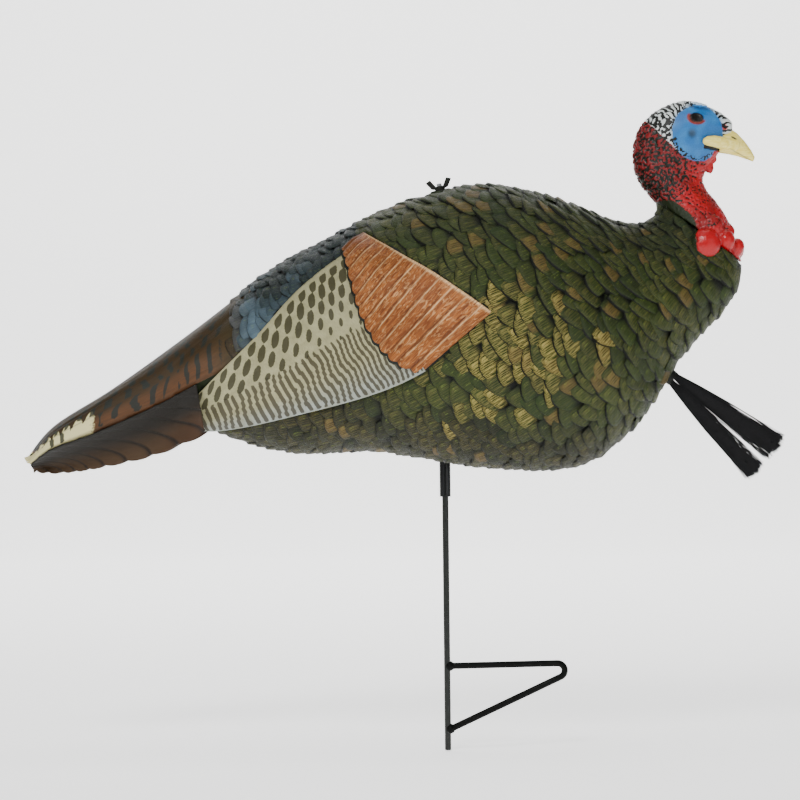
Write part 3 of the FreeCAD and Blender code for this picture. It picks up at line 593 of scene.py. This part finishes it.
# the tail: a roof of long feathers over a fan seen from below; ridge, eave and hem in mm from tip to root
tail = {
    "ridge": [(-416, 0, 297), (-389, 0, 327.5), (-334, 0, 361.5), (-282, 0, 398), (-232, 0, 434.5),
              (-186, 0, 470)],
    "eave": [(-411, 26, 290), (-388, 47, 305), (-345, 50, 320.5), (-284, 49, 347), (-244, 50, 368),
             (-200, 54, 388)],
    "hem": [(-409, 14, 284.5), (-377, 17, 284.0), (-343, 19, 288.5), (-290, 20, 300), (-238, 30, 321)],
    "strips": 6, "cuts": (150, 100), "fanCuts": (170, 60), "thick": 1.4,
}


def tailRoof(u, v):
    # u runs from tip to root, v from the right eave over the ridge to the left one
    angle = (v - 0.5) * math.pi
    strip = abs(v - 0.5) * 2 * tail["strips"]
    lobe = abs(math.sin(math.pi * strip))
    u = u - smoothStep(0.06, 0.0, u) * 0.022 * lobe
    ridge, eave = curveAt(tail["ridge"], max(0, u)), curveAt(tail["eave"], max(0, u))
    if u < 0:
        ridge, eave = ridge + Vector((u * 190, 0, u * 60)), eave + Vector((u * 190, 0, u * 60))
    share = abs(math.sin(angle))
    height = eave.z + (ridge.z - eave.z) * max(0.0, math.cos(angle)) ** 0.62
    x = ridge.x + (eave.x - ridge.x) * share ** 2
    relief = 0.9 * lobe ** 0.7 * smoothStep(0.75, 0.25, u)
    point = Vector((x, math.copysign(eave.y * share, angle), height + 0.8 + relief)) * mm
    if u > 0.6:
        place, normal = onSkin(point)
        if (point - place).dot(normal) < 1.2 * mm:
            return place + normal * 1.2 * mm
    return point


def tailRoofMarks(u, v):
    side = abs(v - 0.5) * 2
    strip = side * tail["strips"]
    lobe = abs(math.sin(math.pi * strip))
    wander = noise.noise(Vector((u * 9, v * 22, 1.3)))
    stripNumber = math.floor(strip) + (7 if v > 0.5 else 0)
    phase = (u * 18 + 0.37 * stripNumber + 0.3 * wander + 0.12 * lobe) % 1
    bars = smoothStep(0.24, 0.14, abs(phase - 0.5)) * smoothStep(0.05, 0.3, lobe)
    patchy = smoothStep(-0.34, -0.16, noise.noise(Vector((u * 13, v * 9, 7.7))))
    dash = bars * patchy * smoothStep(0.1, 0.16, u) * smoothStep(0.98, 0.85, u)
    band = smoothStep(0.05, 0.08, u) * smoothStep(0.19, 0.12, u) * smoothStep(0.75, 0.5, side)
    grooveAndShade = smoothStep(0.28, 0.0, lobe) * smoothStep(0.6, 0.3, u) * (0.4 + 0.5 * smoothStep(0.3, 0.9, side))
    streak = smoothStep(0.0, 0.35, noise.noise(Vector((u * 4, strip * 2.5, 4.1))) + 0.15)
    streak *= smoothStep(0.3, 0.12, u) * smoothStep(0.45, 0.8, side)
    tips = abs(math.sin(u * 62))
    hem = smoothStep(0.86, 0.92, side + 0.16 * tips) * smoothStep(0.44, 0.36, u)
    return max(dash, band), grooveAndShade, min(1.0, smoothStep(0.075, 0.03, u) + 0.9 * hem + 0.55 * streak)


def tailRoofPaint(u, v):
    side = abs(v - 0.5) * 2
    colour = blendColour(linear("#35260f"), linear("#5c3a20"), smoothStep(0.82, 0.96, side) * 0.8)
    colour = blendColour(colour, linear("#39311c"), smoothStep(0.8, 1.0, u))
    return blendColour(colour, linear("#6f3b19"), smoothStep(0.09, 0.04, u) * smoothStep(0.02, 0.05, u) * 0.7)


def tailFan(side):
    def place(u, v):
        # v runs from the hem up to under the eave
        hem, eave = curveAt(tail["hem"], u), curveAt(tail["eave"], u * 0.8)
        fan = fanPhase(u, v)
        lobe = abs(math.sin(math.pi * fan))
        spot = hem.lerp(eave, v)
        inward = 9.0 * math.sin(math.pi * min(1.0, v * 1.05))
        inward *= smoothStep(0.0, 0.15, u) * smoothStep(1.0, 0.85, u)
        drop = 2.6 * lobe * smoothStep(0.16, 0.0, v)
        step = 2.4 * (fan % 1) ** 1.5
        out = Vector((spot.x, spot.y - inward + step + 1.5, spot.z - drop))
        return Vector((out.x, out.y * side, out.z)) * mm
    return place


def fanPhase(u, v):
    return 9.4 * (1 - u) ** 1.15 - 3.0 * v ** 1.5


def tailFanMarks(u, v):
    fan = fanPhase(u, v) % 1
    grooveAndShade = max(smoothStep(0.22, 0.0, fan), smoothStep(0.92, 1.0, fan)) * 0.95
    quill = smoothStep(0.05, 0.0, abs(fan - 0.55)) * 0.35
    shade = smoothStep(0.45, 0.95, v) * 0.75
    return max(quill, 0.0), min(1.0, max(grooveAndShade, shade)), 0.0


def tailFanPaint(u, v):
    # painted shade: nearly black up under the eave, brown towards the hem
    colour = blendColour(linear("#100c06"), linear("#45311c"), smoothStep(0.7, 0.0, v))
    return blendColour(colour, linear("#3f2614"), smoothStep(0.7, 0.95, u) * smoothStep(0.6, 0.1, v) * 0.8)


makePatch("tailRoof", tail["cuts"], tailRoof, tailRoofMarks, tail["thick"] * mm, "decoy",
          paints["tail"], tailRoofPaint)
for side, word in ((-1, "Right"), (1, "Left")):
    makePatch("tailFan" + word, tail["fanCuts"], tailFan(side), tailFanMarks, tail["thick"] * mm, "decoy",
              paints["tail"], tailFanPaint)

print("stage: plumage")
# sizes in mm: feather width and length, their spacing, how far a tip stands off and how much each varies
plumage = {"width": 27, "length": 28, "across": 17, "along": 8.4, "lift": 4.2, "dome": 1.0, "tries": 42000,
           "dip": 33, "vary": 0.16}


def feathered(point):
    x, z = point.x / mm, point.z / mm
    depth = viewer["place"][1]
    scale = depth / (depth + abs(point.y))
    sx = viewer["place"][0] / mm + (x - viewer["place"][0] / mm) * scale
    sz = viewer["place"][2] / mm + (z - viewer["place"][2] / mm) * scale
    return sx, sz


def insideOutline(outline, x, z):
    inside = False
    for (ax, az), (bx, bz) in zip(outline, outline[1:] + outline[:1]):
        if (az > z) != (bz > z) and x < (bx - ax) * (z - az) / (bz - az) + ax:
            inside = not inside
    return inside


def outlineOf(lowPoints, highPoints):
    return [(p[0], p[1]) for p in lowPoints] + [(p[0], p[1]) for p in reversed(highPoints)]


covered = [outlineOf(wing["low"], wing["high"]), outlineOf(copper["tips"], copper["roots"])]


# colour zones on the bird's side: middle, stretch, and the radii in mm where each starts and is full
zones = {
    "paleRump": ((-188, 432), (1, 1), (34, 0)), "bronzeBack": ((10, 520), (0.75, 1.4), (52, 20)),
    "bronzeBreast": ((130, 455), (1, 0.9), (120, 40)), "goldSide": ((80, 390), (0.7, 1), (95, 25)),
    "goldShoulder": ((42, 425), (1, 1), (60, 15)),
}


def inZone(name, sx, sz):
    (cx, cz), (wide, high), (outer, inner) = zones[name]
    return smoothStep(outer, inner, math.hypot((sx - cx) * wide, (sz - cz) * high))


def regionOf(point, normal):
    # colour, bronze, gold, lift, size of the feather that stands here; None where another piece covers it
    sx, sz = feathered(point)
    if any(insideOutline(o, sx, sz) for o in covered) or (point - seat).length < 15 * mm:
        return None
    if sx < -205 and sz > 322 or sx < -238:
        return None
    wingLine = 345 + (sx + 254) * 0.955
    rumpward = smoothStep(-62, -92, sx - 0.25 * (sz - 540)) if sz > wingLine - 12 and normal.z > -0.2 else 0.0
    if rumpward > 0.5:
        brown = smoothStep(-188, -215, sx)
        light = smoothStep(0.1, 0.5, noise.noise(point * 30)) * 0.25 + inZone("paleRump", sx, sz)
        colour = blendColour(linear("#1f2a2d"), linear("#70899a"), light * 0.7)
        colour = blendColour(colour, linear("#4c3820"), brown)
        return colour, 0.0, 0.0, 4.0, 0.8
    belly = smoothStep(352, 322, sz) if sx < 60 else smoothStep(340, 300, sz)
    shadeUnderWing = smoothStep(-10, -120, sx) * smoothStep(400, 350, sz)
    high = smoothStep(470, 540, sz)
    tone = noise.noise(point * 26)
    colour = blendColour(linear("#1f300b"), linear("#2c3912"), tone + 0.5)
    colour = blendColour(colour, linear("#26331a"), high * 0.6)
    # darker towards the belly; under the wing's lower edge the darkening is painted shade
    colour = blendColour(colour, linear("#0a0e05"), max(belly, shadeUnderWing) * 0.9)
    colour = blendColour(colour, linear("#1f2c17"), smoothStep(150, 215, sx) * smoothStep(470, 520, sz))
    bronzeChance = 0.10 + 0.42 * inZone("bronzeBack", sx, sz) + 0.36 * inZone("bronzeBreast", sx, sz)
    goldChance = 0.85 * inZone("goldSide", sx, sz) + 0.45 * inZone("goldShoulder", sx, sz)
    bronze = 0.9 if random.random() < bronzeChance * 0.5 else 0.05
    gold = random.uniform(0.35, 1.0) if random.random() < goldChance * 0.7 else random.uniform(0, 0.16)
    small = 1 - 0.32 * smoothStep(120, 215, sx) * smoothStep(440, 530, sz) - 0.15 * smoothStep(330, 290, sz)
    return colour, bronze, gold, plumage["lift"] * small, small


def featherLean(point, normal):
    sx, sz = feathered(point)
    dip = plumage["dip"] + 12 * noise.noise(point * 9)
    dip += 10 * smoothStep(60, 200, sx) - 10 * smoothStep(-60, -160, sx)
    flow = Vector((-math.cos(math.radians(dip)), 0, -math.sin(math.radians(dip))))
    flow -= normal * flow.dot(normal)
    return flow.normalized()


template = bmesh.new()
template.loops.layers.uv.new("feather")
bmesh.ops.create_grid(template, x_segments=6, y_segments=6, size=1, calc_uvs=True)
templateMesh = bpy.data.meshes.new("featherTemplate")
template.to_mesh(templateMesh)
template.free()
# rows along the feather: share of the length, share of the lift and how brightly rubbed it is there; where
# that last value is low the feather is painted black, painted shade at the root and on the slope past the tip
featherRows = [(0.0, 0.05, 0.0), (0.25, 0.3, 0.15), (0.5, 0.6, 0.6), (0.75, 0.86, 0.95), (0.9, 1.0, 1.0),
               (0.96, 0.75, 0.1), (1.08, -0.4, 0.0)]


def addFeather(bm, layers, point, normal, look):
    colour, bronze, gold, lift, small = look
    start = len(bm.verts)
    bm.from_mesh(templateMesh)
    bm.verts.ensure_lookup_table()
    flow = featherLean(point, normal)
    across = normal.cross(flow)
    width = plumage["width"] * small * random.uniform(1 - plumage["vary"], 1 + plumage["vary"]) * mm
    length = plumage["length"] * small * random.uniform(1 - plumage["vary"], 1 + plumage["vary"]) * mm
    skew = random.uniform(-0.22, 0.22)
    blunt = random.uniform(0.03, 0.17)
    rise = lift * random.uniform(0.75, 1.25) * mm
    sag = plumage["dome"] * small * mm
    tint = random.uniform(0.82, 1.2)
    for vert in bm.verts[start:]:
        u = vert.co.x
        row = round((vert.co.y + 1) / 2 * (len(featherRows) - 1))
        share, height, rubAndShade = featherRows[row]
        reach = share * (1 - blunt * u * u + skew * u * share)
        spread = u * width / 2 * (0.8 + 0.3 * math.sin(math.pi * min(1, share * 0.8)))
        rough = point + flow * (reach - 0.55) * length + across * spread
        place, out = onSkin(rough)
        stand = height * rise + sag * (1 - u * u) * (0.4 + 0.6 * share) * (height > 0) - 0.6 * sag * u ** 4
        if any(insideOutline(o, *feathered(place)) for o in covered):
            stand = -1.5 * mm
        vert.co = place + out * stand
        vert[layers[0]] = (*(c * tint for c in colour), 1.0)
        vert[layers[1]] = (bronze, gold, rubAndShade * (1 - 0.45 * u ** 6), 1.0)


def pickPlaces(count):
    cells = random.choices(range(len(skinFaces)), weights=skinAreas, k=count)
    kept, grid = [], {}
    size = 20 * mm
    for cell in cells:
        corners = [skinPoints[i] for i in skinFaces[cell]]
        a, b = random.random(), random.random()
        point = corners[0].lerp(corners[1], a).lerp(corners[3].lerp(corners[2], a), b)
        place, normal = onSkin(point)
        look = regionOf(place, normal)
        if look is None:
            continue
        flow = featherLean(place, normal)
        across = normal.cross(flow)
        key = tuple(int(c // size) for c in place)
        near = [k for dx in (-1, 0, 1) for dy in (-1, 0, 1) for dz in (-1, 0, 1)
                for k in grid.get((key[0] + dx, key[1] + dy, key[2] + dz), ())]
        room = look[4]
        if any(math.hypot((place - k).dot(across) / (plumage["across"] * room),
                          (place - k).dot(flow) / (plumage["along"] * room)) < mm for k in near):
            continue
        grid.setdefault(key, []).append(place)
        kept.append((place, normal, look))
    return kept


places = pickPlaces(plumage["tries"])
featherBm = bmesh.new()
featherBm.loops.layers.uv.new("feather")
layers = (featherBm.verts.layers.float_color.new("paint"), featherBm.verts.layers.float_color.new("marks"))
for place, normal, look in places:
    addFeather(featherBm, layers, place, normal, look)
featherBm.normal_update()
flipped = [f for f in featherBm.faces if f.normal.dot(onSkin(f.calc_center_median())[1]) < -0.2]
print("feathers", len(places), "faces", len(featherBm.faces), "turned", len(flipped))
if len(flipped) > len(featherBm.faces) / 2:
    bmesh.ops.reverse_faces(featherBm, faces=featherBm.faces[:])
putInScene("plumage", featherBm, "decoy", paints["plumage"])

print("stage: head")


def addRing(bm, back, front, halves, segments=40, cap=False):
    # an upright ring across the middle plane; halves are its half widths at the back, middle and front
    ring = bmesh.ops.create_circle(bm, segments=segments, radius=1, cap_ends=cap)["verts"]
    for vert in ring:
        s, c = vert.co.y, vert.co.x
        middle = Vector(front).lerp(Vector(back), (1 + c) / 2)
        half = halves[1] + 0.5 * (halves[0] - halves[2]) * c
        half += 0.25 * (halves[0] + halves[2] - 2 * halves[1]) * c * c
        vert.co = Vector((middle.x, half * s, middle.y)) * mm
    return {e for v in ring for e in v.link_edges}


def loftRings(bm, rings, segments=40):
    before = None
    for i, (back, front, halves) in enumerate(rings):
        edges = addRing(bm, back, front, halves, segments, i in (0, len(rings) - 1))
        if before:
            bmesh.ops.bridge_loops(bm, edges=list(before | edges))
        before = edges


def addBlob(bm, place, radii, tilt=0.0):
    matrix = (Matrix.Translation(Vector(place) * mm) @ Matrix.Rotation(math.radians(tilt), 4, "Y")
              @ Matrix.Diagonal((*(r * mm for r in radii), 1)))
    bmesh.ops.create_icosphere(bm, subdivisions=4, radius=1, matrix=matrix)


def remeshed(bm, voxel, smoothing):
    # one closed skin over all the forms in bm
    mesh = bpy.data.meshes.new("rough")
    bmesh.ops.recalc_face_normals(bm, faces=bm.faces[:])
    bm.to_mesh(mesh)
    bm.free()
    rough = bpy.data.objects.new("rough", mesh)
    scene.collection.objects.link(rough)
    modifier = rough.modifiers.new("skin", "REMESH")
    modifier.mode = "VOXEL"
    modifier.voxel_size = voxel * mm * 1
    clean = bpy.data.meshes.new_from_object(rough.evaluated_get(bpy.context.evaluated_depsgraph_get()))
    bpy.data.objects.remove(rough)
    out = bmesh.new()
    out.from_mesh(clean)
    everyWay = {"use_axis_x": True, "use_axis_y": True, "use_axis_z": True}
    for _ in range(smoothing):
        bmesh.ops.smooth_vert(out, verts=out.verts, factor=0.5, **everyWay)
    return out


# rings of the head and neck in mm: back point, front point, half widths; then lobes: place, radii, tilt
head = {
    "rings": [((213.3, 545.4), (299.2, 483.6), (21, 29, 27)), ((209, 550.5), (294.5, 501), (21.5, 28, 25)),
              ((204, 556.5), (288.5, 520), (22, 27, 23)), ((198.5, 563), (281.5, 534), (22.5, 25.5, 21)),
              ((194.5, 571), (273, 546), (22.5, 24.5, 19)), ((192, 581), (264.5, 556), (23, 24, 17.5)),
              ((191.2, 592), (260.5, 567), (23, 24, 17)), ((192, 603), (264, 578), (23, 24.5, 17)),
              ((195.5, 614.5), (272, 588), (22.5, 25, 16)), ((201.5, 624.5), (280, 597), (21.5, 24.5, 14.5)),
              ((210, 633.5), (287, 605), (20, 23.5, 13.5)), ((220, 640), (291, 613), (17.5, 22, 12.5)),
              ((231, 644.3), (291.5, 619.5), (14.5, 19.5, 10.5)), ((243, 646.3), (289, 626), (11, 15.5, 8)),
              ((254, 645), (283, 631.5), (7, 9.5, 5))],
    "lobes": [((259.5, 32, 501), (15.2, 12, 16), 0), ((281, 21, 505), (9.5, 10, 11), 0),
              ((292, 10, 498), (8.4, 9, 10.5), 25), ((267, 22, 518), (12, 9, 13), 20),
              ((284, 15, 513), (6.5, 6, 8), 20), ((253.5, 20, 641.0), (12, 3.0, 2.2), 12)],
    "middleLobes": [((293.5, 0, 496), (8, 7, 10), 20), ((285, 0, 514), (6, 9, 9), 20),
                    ((271.3, 0, 589), (3.6, 3.0, 5.5), -20), ((267.4, 0, 580), (4.6, 2.8, 6.6), -12),
                    ((286.5, 0, 623.2), (4.6, 3.6, 3.6), 30)],
    "voxel": 1.0, "eye": (253.3, 627.6), "eyeOpen": (6.4, 4.6), "eyeTurn": -8, "ball": (15.5, 6.8),
    "ear": (248.7, 611.8), "blue": (254.5, 612.3, 25.5, 28.0),
    "green": [(546, 226), (545, 230), (536, 241), (528, 249), (516, 252), (508, 250), (492, 251), (470, 252)],
}


def greenEdge(z):
    for (za, xa), (zb, xb) in zip(head["green"], head["green"][1:]):
        if za >= z >= zb:
            return xa + (xb - xa) * (za - z) / (za - zb)
    return 300 if z > 546 else 252


def almond(x, z):
    # 1 on the edge of the eye's opening, less inside
    turn = math.radians(head["eyeTurn"])
    dx, dz = x - head["eye"][0], z - head["eye"][1]
    along, across = dx * math.cos(turn) + dz * math.sin(turn), dz * math.cos(turn) - dx * math.sin(turn)
    return math.hypot(along / head["eyeOpen"][0], across / head["eyeOpen"][1])


def headLook(point):
    # colour, recess, gloss, blackness and outward bump in mm at a point of the head
    x, y, z = (c / mm for c in point)
    mirrored = Vector((point.x, abs(point.y), point.z))
    crumble = noise.noise(mirrored * 370) + 0.6 * noise.noise(mirrored * 740 + Vector((3, 1, 2)))
    jitter = noise.noise(mirrored * 120) * 1.6
    cx, cz, rx, rz = head["blue"]
    blueRing = math.hypot((x - cx) / rx, (z - cz) / rz) + jitter * 0.025
    if z < 548 and x < greenEdge(z) + jitter * 1.2 and z < 545.8 + jitter:
        return linear("#1b2610"), 0.5 * smoothStep(-0.1, 0.3, crumble), 0.15, 0.6, 0.45 * crumble
    eye = almond(x, z)
    # painted shade: a black strip in the gap under the beak's gape flange
    if abs(z - 599.6 + 0.12 * (x - 262)) < 2.4 and x > 261:
        return linear("#0b0b09"), 1.0, 0.1, 1.0, -0.8
    if blueRing < 1 and abs(y) > 8.5 + 3 * noise.noise(mirrored * 200):
        colour = blendColour(linear("#1f68ab"), linear("#3583c2"), noise.noise(mirrored * 90) + 0.4)
        ear = math.hypot(x - head["ear"][0], z - head["ear"][1])
        colour = blendColour(colour, linear("#2b4a66"), smoothStep(7.0, 1.5, ear))
        rim = smoothStep(0.72, 0.9, blueRing) * smoothStep(625, 600, z)
        speck = smoothStep(-0.02, 0.12, noise.noise(mirrored * 430)) * rim
        if eye < 1.75:
            eyeX, eyeZ = head["eye"]
            lower = smoothStep(eyeZ + 3.5, eyeZ + 0.5, z + 0.45 * (x - eyeX + 2))
            lid = lower * smoothStep(1.62, 1.42, eye)
            colour = blendColour(colour, linear("#8c3026"), lid)
            colour = blendColour(linear("#0c0906"), colour, smoothStep(1.0, 1.16, eye))
            return colour, 0.0, 0.35, 0.0, 0.2 * lid
        return colour, speck * 0.8, 0.25, 0.3, -1.0 * smoothStep(5.5, 0.5, ear) + 0.35 * crumble * rim
    if z + 1.02 * x > 833.5 + jitter and not (z < 603 and x > 240):
        angle = math.atan2(z - 612, x - 250)
        radius = math.hypot(z - 612, x - 250)
        streak = noise.noise(Vector((angle * 15 + 0.6 * jitter, radius * 0.13, abs(y) * 0.10)))
        dots = noise.noise(mirrored * 330)
        band = smoothStep(1.45, 1.8, angle) if angle > 0 else 1.0
        back = smoothStep(2.3, 2.75, abs(angle))
        black = (streak * (1 - back) + dots * back) * (0.35 + 0.65 * band)
        pink = smoothStep(4.5, 2.5, math.hypot(x - 281.5, z - 618.5))
        colour = blendColour(linear("#dfe6e4"), linear("#9cc0dd"), smoothStep(1.16, 1.0, blueRing) * 0.8)
        colour = blendColour(colour, linear("#b8423c"), pink)
        black += 0.13 * smoothStep(1.3, 2.0, angle) + 0.02
        return colour, smoothStep(-0.02, 0.1, black), 0.25, 0.9, 0.55 - 0.9 * smoothStep(-0.1, 0.2, black)
    front = smoothStep(-12, 22, (x - 232) * 0.8 + (560 - z) * 0.42)
    bulb = smoothStep(520, 508, z) * smoothStep(248, 256, x)
    flap = smoothStep(262, 266, x) if z > 570 else 0.0
    level = 0.02 - 0.36 * front - 0.5 * max(bulb, flap) + 0.18 * smoothStep(580, 560, z) * (1 - front)
    pit = smoothStep(level + 0.10, level - 0.08, crumble)
    colour = blendColour(linear("#7c1417"), linear("#b3131c"), max(front, bulb))
    stain = smoothStep(-0.1, 0.4, noise.noise(mirrored * 60)) * 0.5 * (1 - bulb)
    colour = blendColour(colour, linear("#5c1411"), stain)
    swell = (0.75 * smoothStep(-0.4, 0.5, crumble) - 0.9 * pit) * (1 - 0.85 * bulb) * (1 - 0.3 * front)
    return colour, pit * (1 - bulb), 0.45 + 0.4 * bulb, 0.25, swell


headBm = bmesh.new()
loftRings(headBm, head["rings"])
for place, radii, tilt in head["lobes"]:
    addBlob(headBm, place, radii, tilt)
    addBlob(headBm, (place[0], -place[1], place[2]), radii, tilt)
for place, radii, tilt in head["middleLobes"]:
    addBlob(headBm, place, radii, tilt)
headBm = remeshed(headBm, head["voxel"], 3)
headLayers = (headBm.verts.layers.float_color.new("paint"), headBm.verts.layers.float_color.new("marks"))
headBm.normal_update()
moves = []
for vert in headBm.verts:
    x, y, z = (c / mm for c in vert.co)
    colour, recess, gloss, black, bump = headLook(vert.co)
    vert[headLayers[0]] = (*colour, 1.0)
    vert[headLayers[1]] = (recess, gloss, black, 1.0)
    move = vert.normal * bump * mm
    opening = almond(x, z)
    fromBall = math.hypot(x - head["eye"][0], z - head["eye"][1])
    if opening < 2.0 and abs(y) > 8:
        middle, radius = head["ball"]
        ball = middle + math.sqrt(max(0.0, radius ** 2 - fromBall ** 2))
        cover = max(0.0, ball + 0.7 - abs(y)) * smoothStep(2.0, 1.3, opening)
        sink = (abs(y) - ball + 2.2) * smoothStep(1.06, 0.94, opening)
        wanted = cover if opening > 1 else -sink
        move = Vector((0, math.copysign(wanted * mm, y), 0))
    moves.append(vert.co + move)
for vert, place in zip(headBm.verts, moves):
    vert.co = place
headPiece = putInScene("headSkin", headBm, "head", paints["head"])
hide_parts("head_shell")

# rings of the beak: top point, bottom point, half widths; then the gape, a soft ridge along each cheek
beak = {
    "rings": [((281, 619.5), (277, 594), (8, 12, 10)), ((288.5, 618.3), (286.5, 592.5), (6.5, 10.5, 8)),
              ((295.5, 614), (295, 590.5), (5, 8.5, 6)), ((303, 606), (302.5, 588), (3.6, 6.2, 4.5)),
              ((309.5, 597), (308, 586), (2.2, 3.9, 3)), ((313.6, 589.2), (311.4, 584.6), (1, 1.7, 1.4))],
    "gape": [((291, 9.0, 601.5), 7.0), ((285, 12.5, 601.2), 6.3), ((278, 16.2, 602.8), 6.3),
             ((271, 19.4, 604.2), 5.9), ((265, 21.2, 604.4), 5.0), ((261.5, 21.8, 604.0), 3.4)],
    "voxel": 0.75,
}
beakBm = bmesh.new()
loftRings(beakBm, beak["rings"], 32)
for (place, tall), (nextPlace, nextTall) in zip(beak["gape"], beak["gape"][1:]):
    for share in (0.0, 0.35, 0.7):
        spot = Vector(place).lerp(Vector(nextPlace), share)
        radius = tall + (nextTall - tall) * share
        for side in (-1, 1):
            addBlob(beakBm, (spot.x, spot.y * side, spot.z), (radius * 0.9, 3.0, radius), 15)
beakBm = remeshed(beakBm, beak["voxel"], 3)
beakMarks = beakBm.verts.layers.float_color.new("marks")
for vert in beakBm.verts:
    x, y, z = (c / mm for c in vert.co)
    along, off = (x - 291.5) * 0.86 + (608 - z) * 0.5, (z - 608) * 0.86 + (x - 291.5) * 0.5
    slit = smoothStep(1.0, 0.5, math.hypot(along / 4.0, off / 1.3))
    mouthHeight = 596.0 - (x - 286) * 0.36 + 1.2 * math.sin((x - 280) * 0.16)
    mouth = smoothStep(0.75, 0.2, abs(z - mouthHeight)) * smoothStep(284, 292, x) * smoothStep(311, 306, x)
    # painted shade under the gape flange, over the rear of the beak's underside
    under = smoothStep(597.5, 595.5, z - (x - 270) * -0.22) * smoothStep(300, 285, x) * 0.8
    vert[beakMarks] = (min(1.0, slit + mouth * 0.55 + under * 0.6), 0, 0, 1.0)
    vert.co.y -= math.copysign(0.8 * slit + 0.35 * mouth, y) * mm
putInScene("beak", beakBm, "head", paints["beak"])

print("stage: beard")
# two tufts of nylon bristles: dip below level and length in degrees and mm, root and end half sizes
beard = {
    "root": (0.224, 0.0, 0.373), "dip": 42.0, "bristle": 0.34,
    "tufts": [{"node": "beard_upper_tuft", "turn": 5.9, "side": 1, "count": 300, "end": (12.0, 5.0)},
              {"node": "beard_lower_tuft", "turn": -5.2, "side": -1, "count": 260, "end": (9.0, 5.0)}],
    "length": 129.0,
}
bristleBm = bmesh.new()
bmesh.ops.create_cone(bristleBm, segments=3, radius1=1, radius2=0.8, depth=1, cap_ends=True,
                      matrix=Matrix.Translation((0, 0, 0.5)))
for height in (0.25, 0.5, 0.75):
    bmesh.ops.bisect_plane(bristleBm, geom=bristleBm.verts[:] + bristleBm.edges[:] + bristleBm.faces[:],
                           plane_co=(0, 0, height), plane_no=(0, 0, 1))
bristleMesh = bpy.data.meshes.new("bristleTemplate")
bristleBm.to_mesh(bristleMesh)
bristleBm.free()
axis = Vector((math.cos(math.radians(beard["dip"])), 0, -math.sin(math.radians(beard["dip"]))))
upAcross = Vector((math.sin(math.radians(beard["dip"])), 0, math.cos(math.radians(beard["dip"]))))
for tuft in beard["tufts"]:
    tuftBm = bmesh.new()
    lean = Matrix.Rotation(math.radians(-tuft["turn"]), 3, "Y")
    run, fan = lean @ axis, lean @ upAcross
    for _ in range(tuft["count"]):
        angle, radius = random.uniform(0, 2 * math.pi), math.sqrt(random.random())
        a, b = radius * math.cos(angle), radius * math.sin(angle)
        spreadA = a + random.gauss(0, 0.10)
        spreadB = b + random.gauss(0, 0.12)
        root = Vector(beard["root"]) + upAcross * (tuft["side"] * 3.0 + a * 2.6) * mm
        root += Vector((0, b * 4.8, 0)) * mm + axis * 1.9 * mm
        length = beard["length"] * (1 + random.gauss(0, 0.012) - 0.02 * abs(a))
        high, wide = tuft["end"]
        tip = root + (run * length + fan * spreadA * high + Vector((0, spreadB * wide, 0))) * mm
        bow = (fan * random.uniform(-2.5, 2.5) + Vector((0, random.uniform(-1.5, 1.5), 0))) * mm
        hook = fan * random.gauss(0, 0.8) * mm
        start = len(tuftBm.verts)
        tuftBm.from_mesh(bristleMesh)
        tuftBm.verts.ensure_lookup_table()
        for vert in tuftBm.verts[start:]:
            t = vert.co.z
            middle = root.lerp(tip, t) + bow * math.sin(math.pi * t) + hook * t ** 4
            vert.co = middle + (fan * vert.co.x + Vector((0, vert.co.y, 0))) * beard["bristle"] * mm
    piece = putInScene(tuft["node"] + "_bristles", tuftBm, "beard", paints["bristle"], False)
    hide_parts(tuft["node"])

print("stage: floor and light")
studio = {"front": -4.5, "back": 3.6, "bend": 1.0, "height": 3.6, "half": 5.5}
sweep = bmesh.new()
bmesh.ops.create_grid(sweep, x_segments=1, y_segments=40, size=1)
for vert in sweep.verts:
    t = (vert.co.y + 1) / 2 * 40
    if t <= 10:
        y, z = studio["front"] + (studio["back"] - studio["front"]) * t / 10, 0.0
    elif t <= 30:
        turn = (t - 10) / 20 * math.pi / 2
        y = studio["back"] + studio["bend"] * math.sin(turn)
        z = studio["bend"] * (1 - math.cos(turn))
    else:
        y, z = studio["back"] + studio["bend"], studio["bend"] + studio["height"] * (t - 30) / 10
    vert.co = Vector((vert.co.x * studio["half"], y, z - 0.0005))
sweepMesh = bpy.data.meshes.new("backdrop")
sweep.to_mesh(sweepMesh)
sweep.free()
for polygon in sweepMesh.polygons:
    polygon.use_smooth = True
backdrop = bpy.data.objects.new("backdrop", sweepMesh)
scene.collection.objects.link(backdrop)
paper, tree, shader = newMaterial("whiteStudioPaper")
grain = speckle(tree, objectPlace(tree), 40.0, 3.0)
sheet = mixed(tree, grain, linear("#f4f4f2"), linear("#fafafa"))
finishShader(tree, shader, {"Base Color": sheet, "Roughness": 0.9,
                            "Emission Color": (1.0, 1.0, 1.0), "Emission Strength": 1.1})
sweepMesh.materials.append(paper)


def addLight(name, place, target, size, power):
    data = bpy.data.lights.new(name, "AREA")
    data.energy = power
    data.size = size
    lamp = bpy.data.objects.new(name, data)
    scene.collection.objects.link(lamp)
    direction = Vector(target) - Vector(place)
    lamp.matrix_world = Matrix.Translation(place) @ direction.to_track_quat("-Z", "Y").to_matrix().to_4x4()


addLight("key", (-0.7, -2.3, 2.2), (0, 0, 0.4), 0.8, 66)
addLight("fill", (1.9, -2.0, 1.0), (0, 0, 0.4), 1.8, 9)
addLight("top", (0.1, 0.1, 2.6), (0, 0, 0.4), 1.4, 13)
addLight("paperWash", (0, 2.4, 3.0), (0, 4.6, 0.6), 2.8, 120)
world = bpy.data.worlds.new("studio")
world.use_nodes = True
world.node_tree.nodes["Background"].inputs["Color"].default_value = (1, 1, 1, 1)
world.node_tree.nodes["Background"].inputs["Strength"].default_value = 0.16
scene.world = world
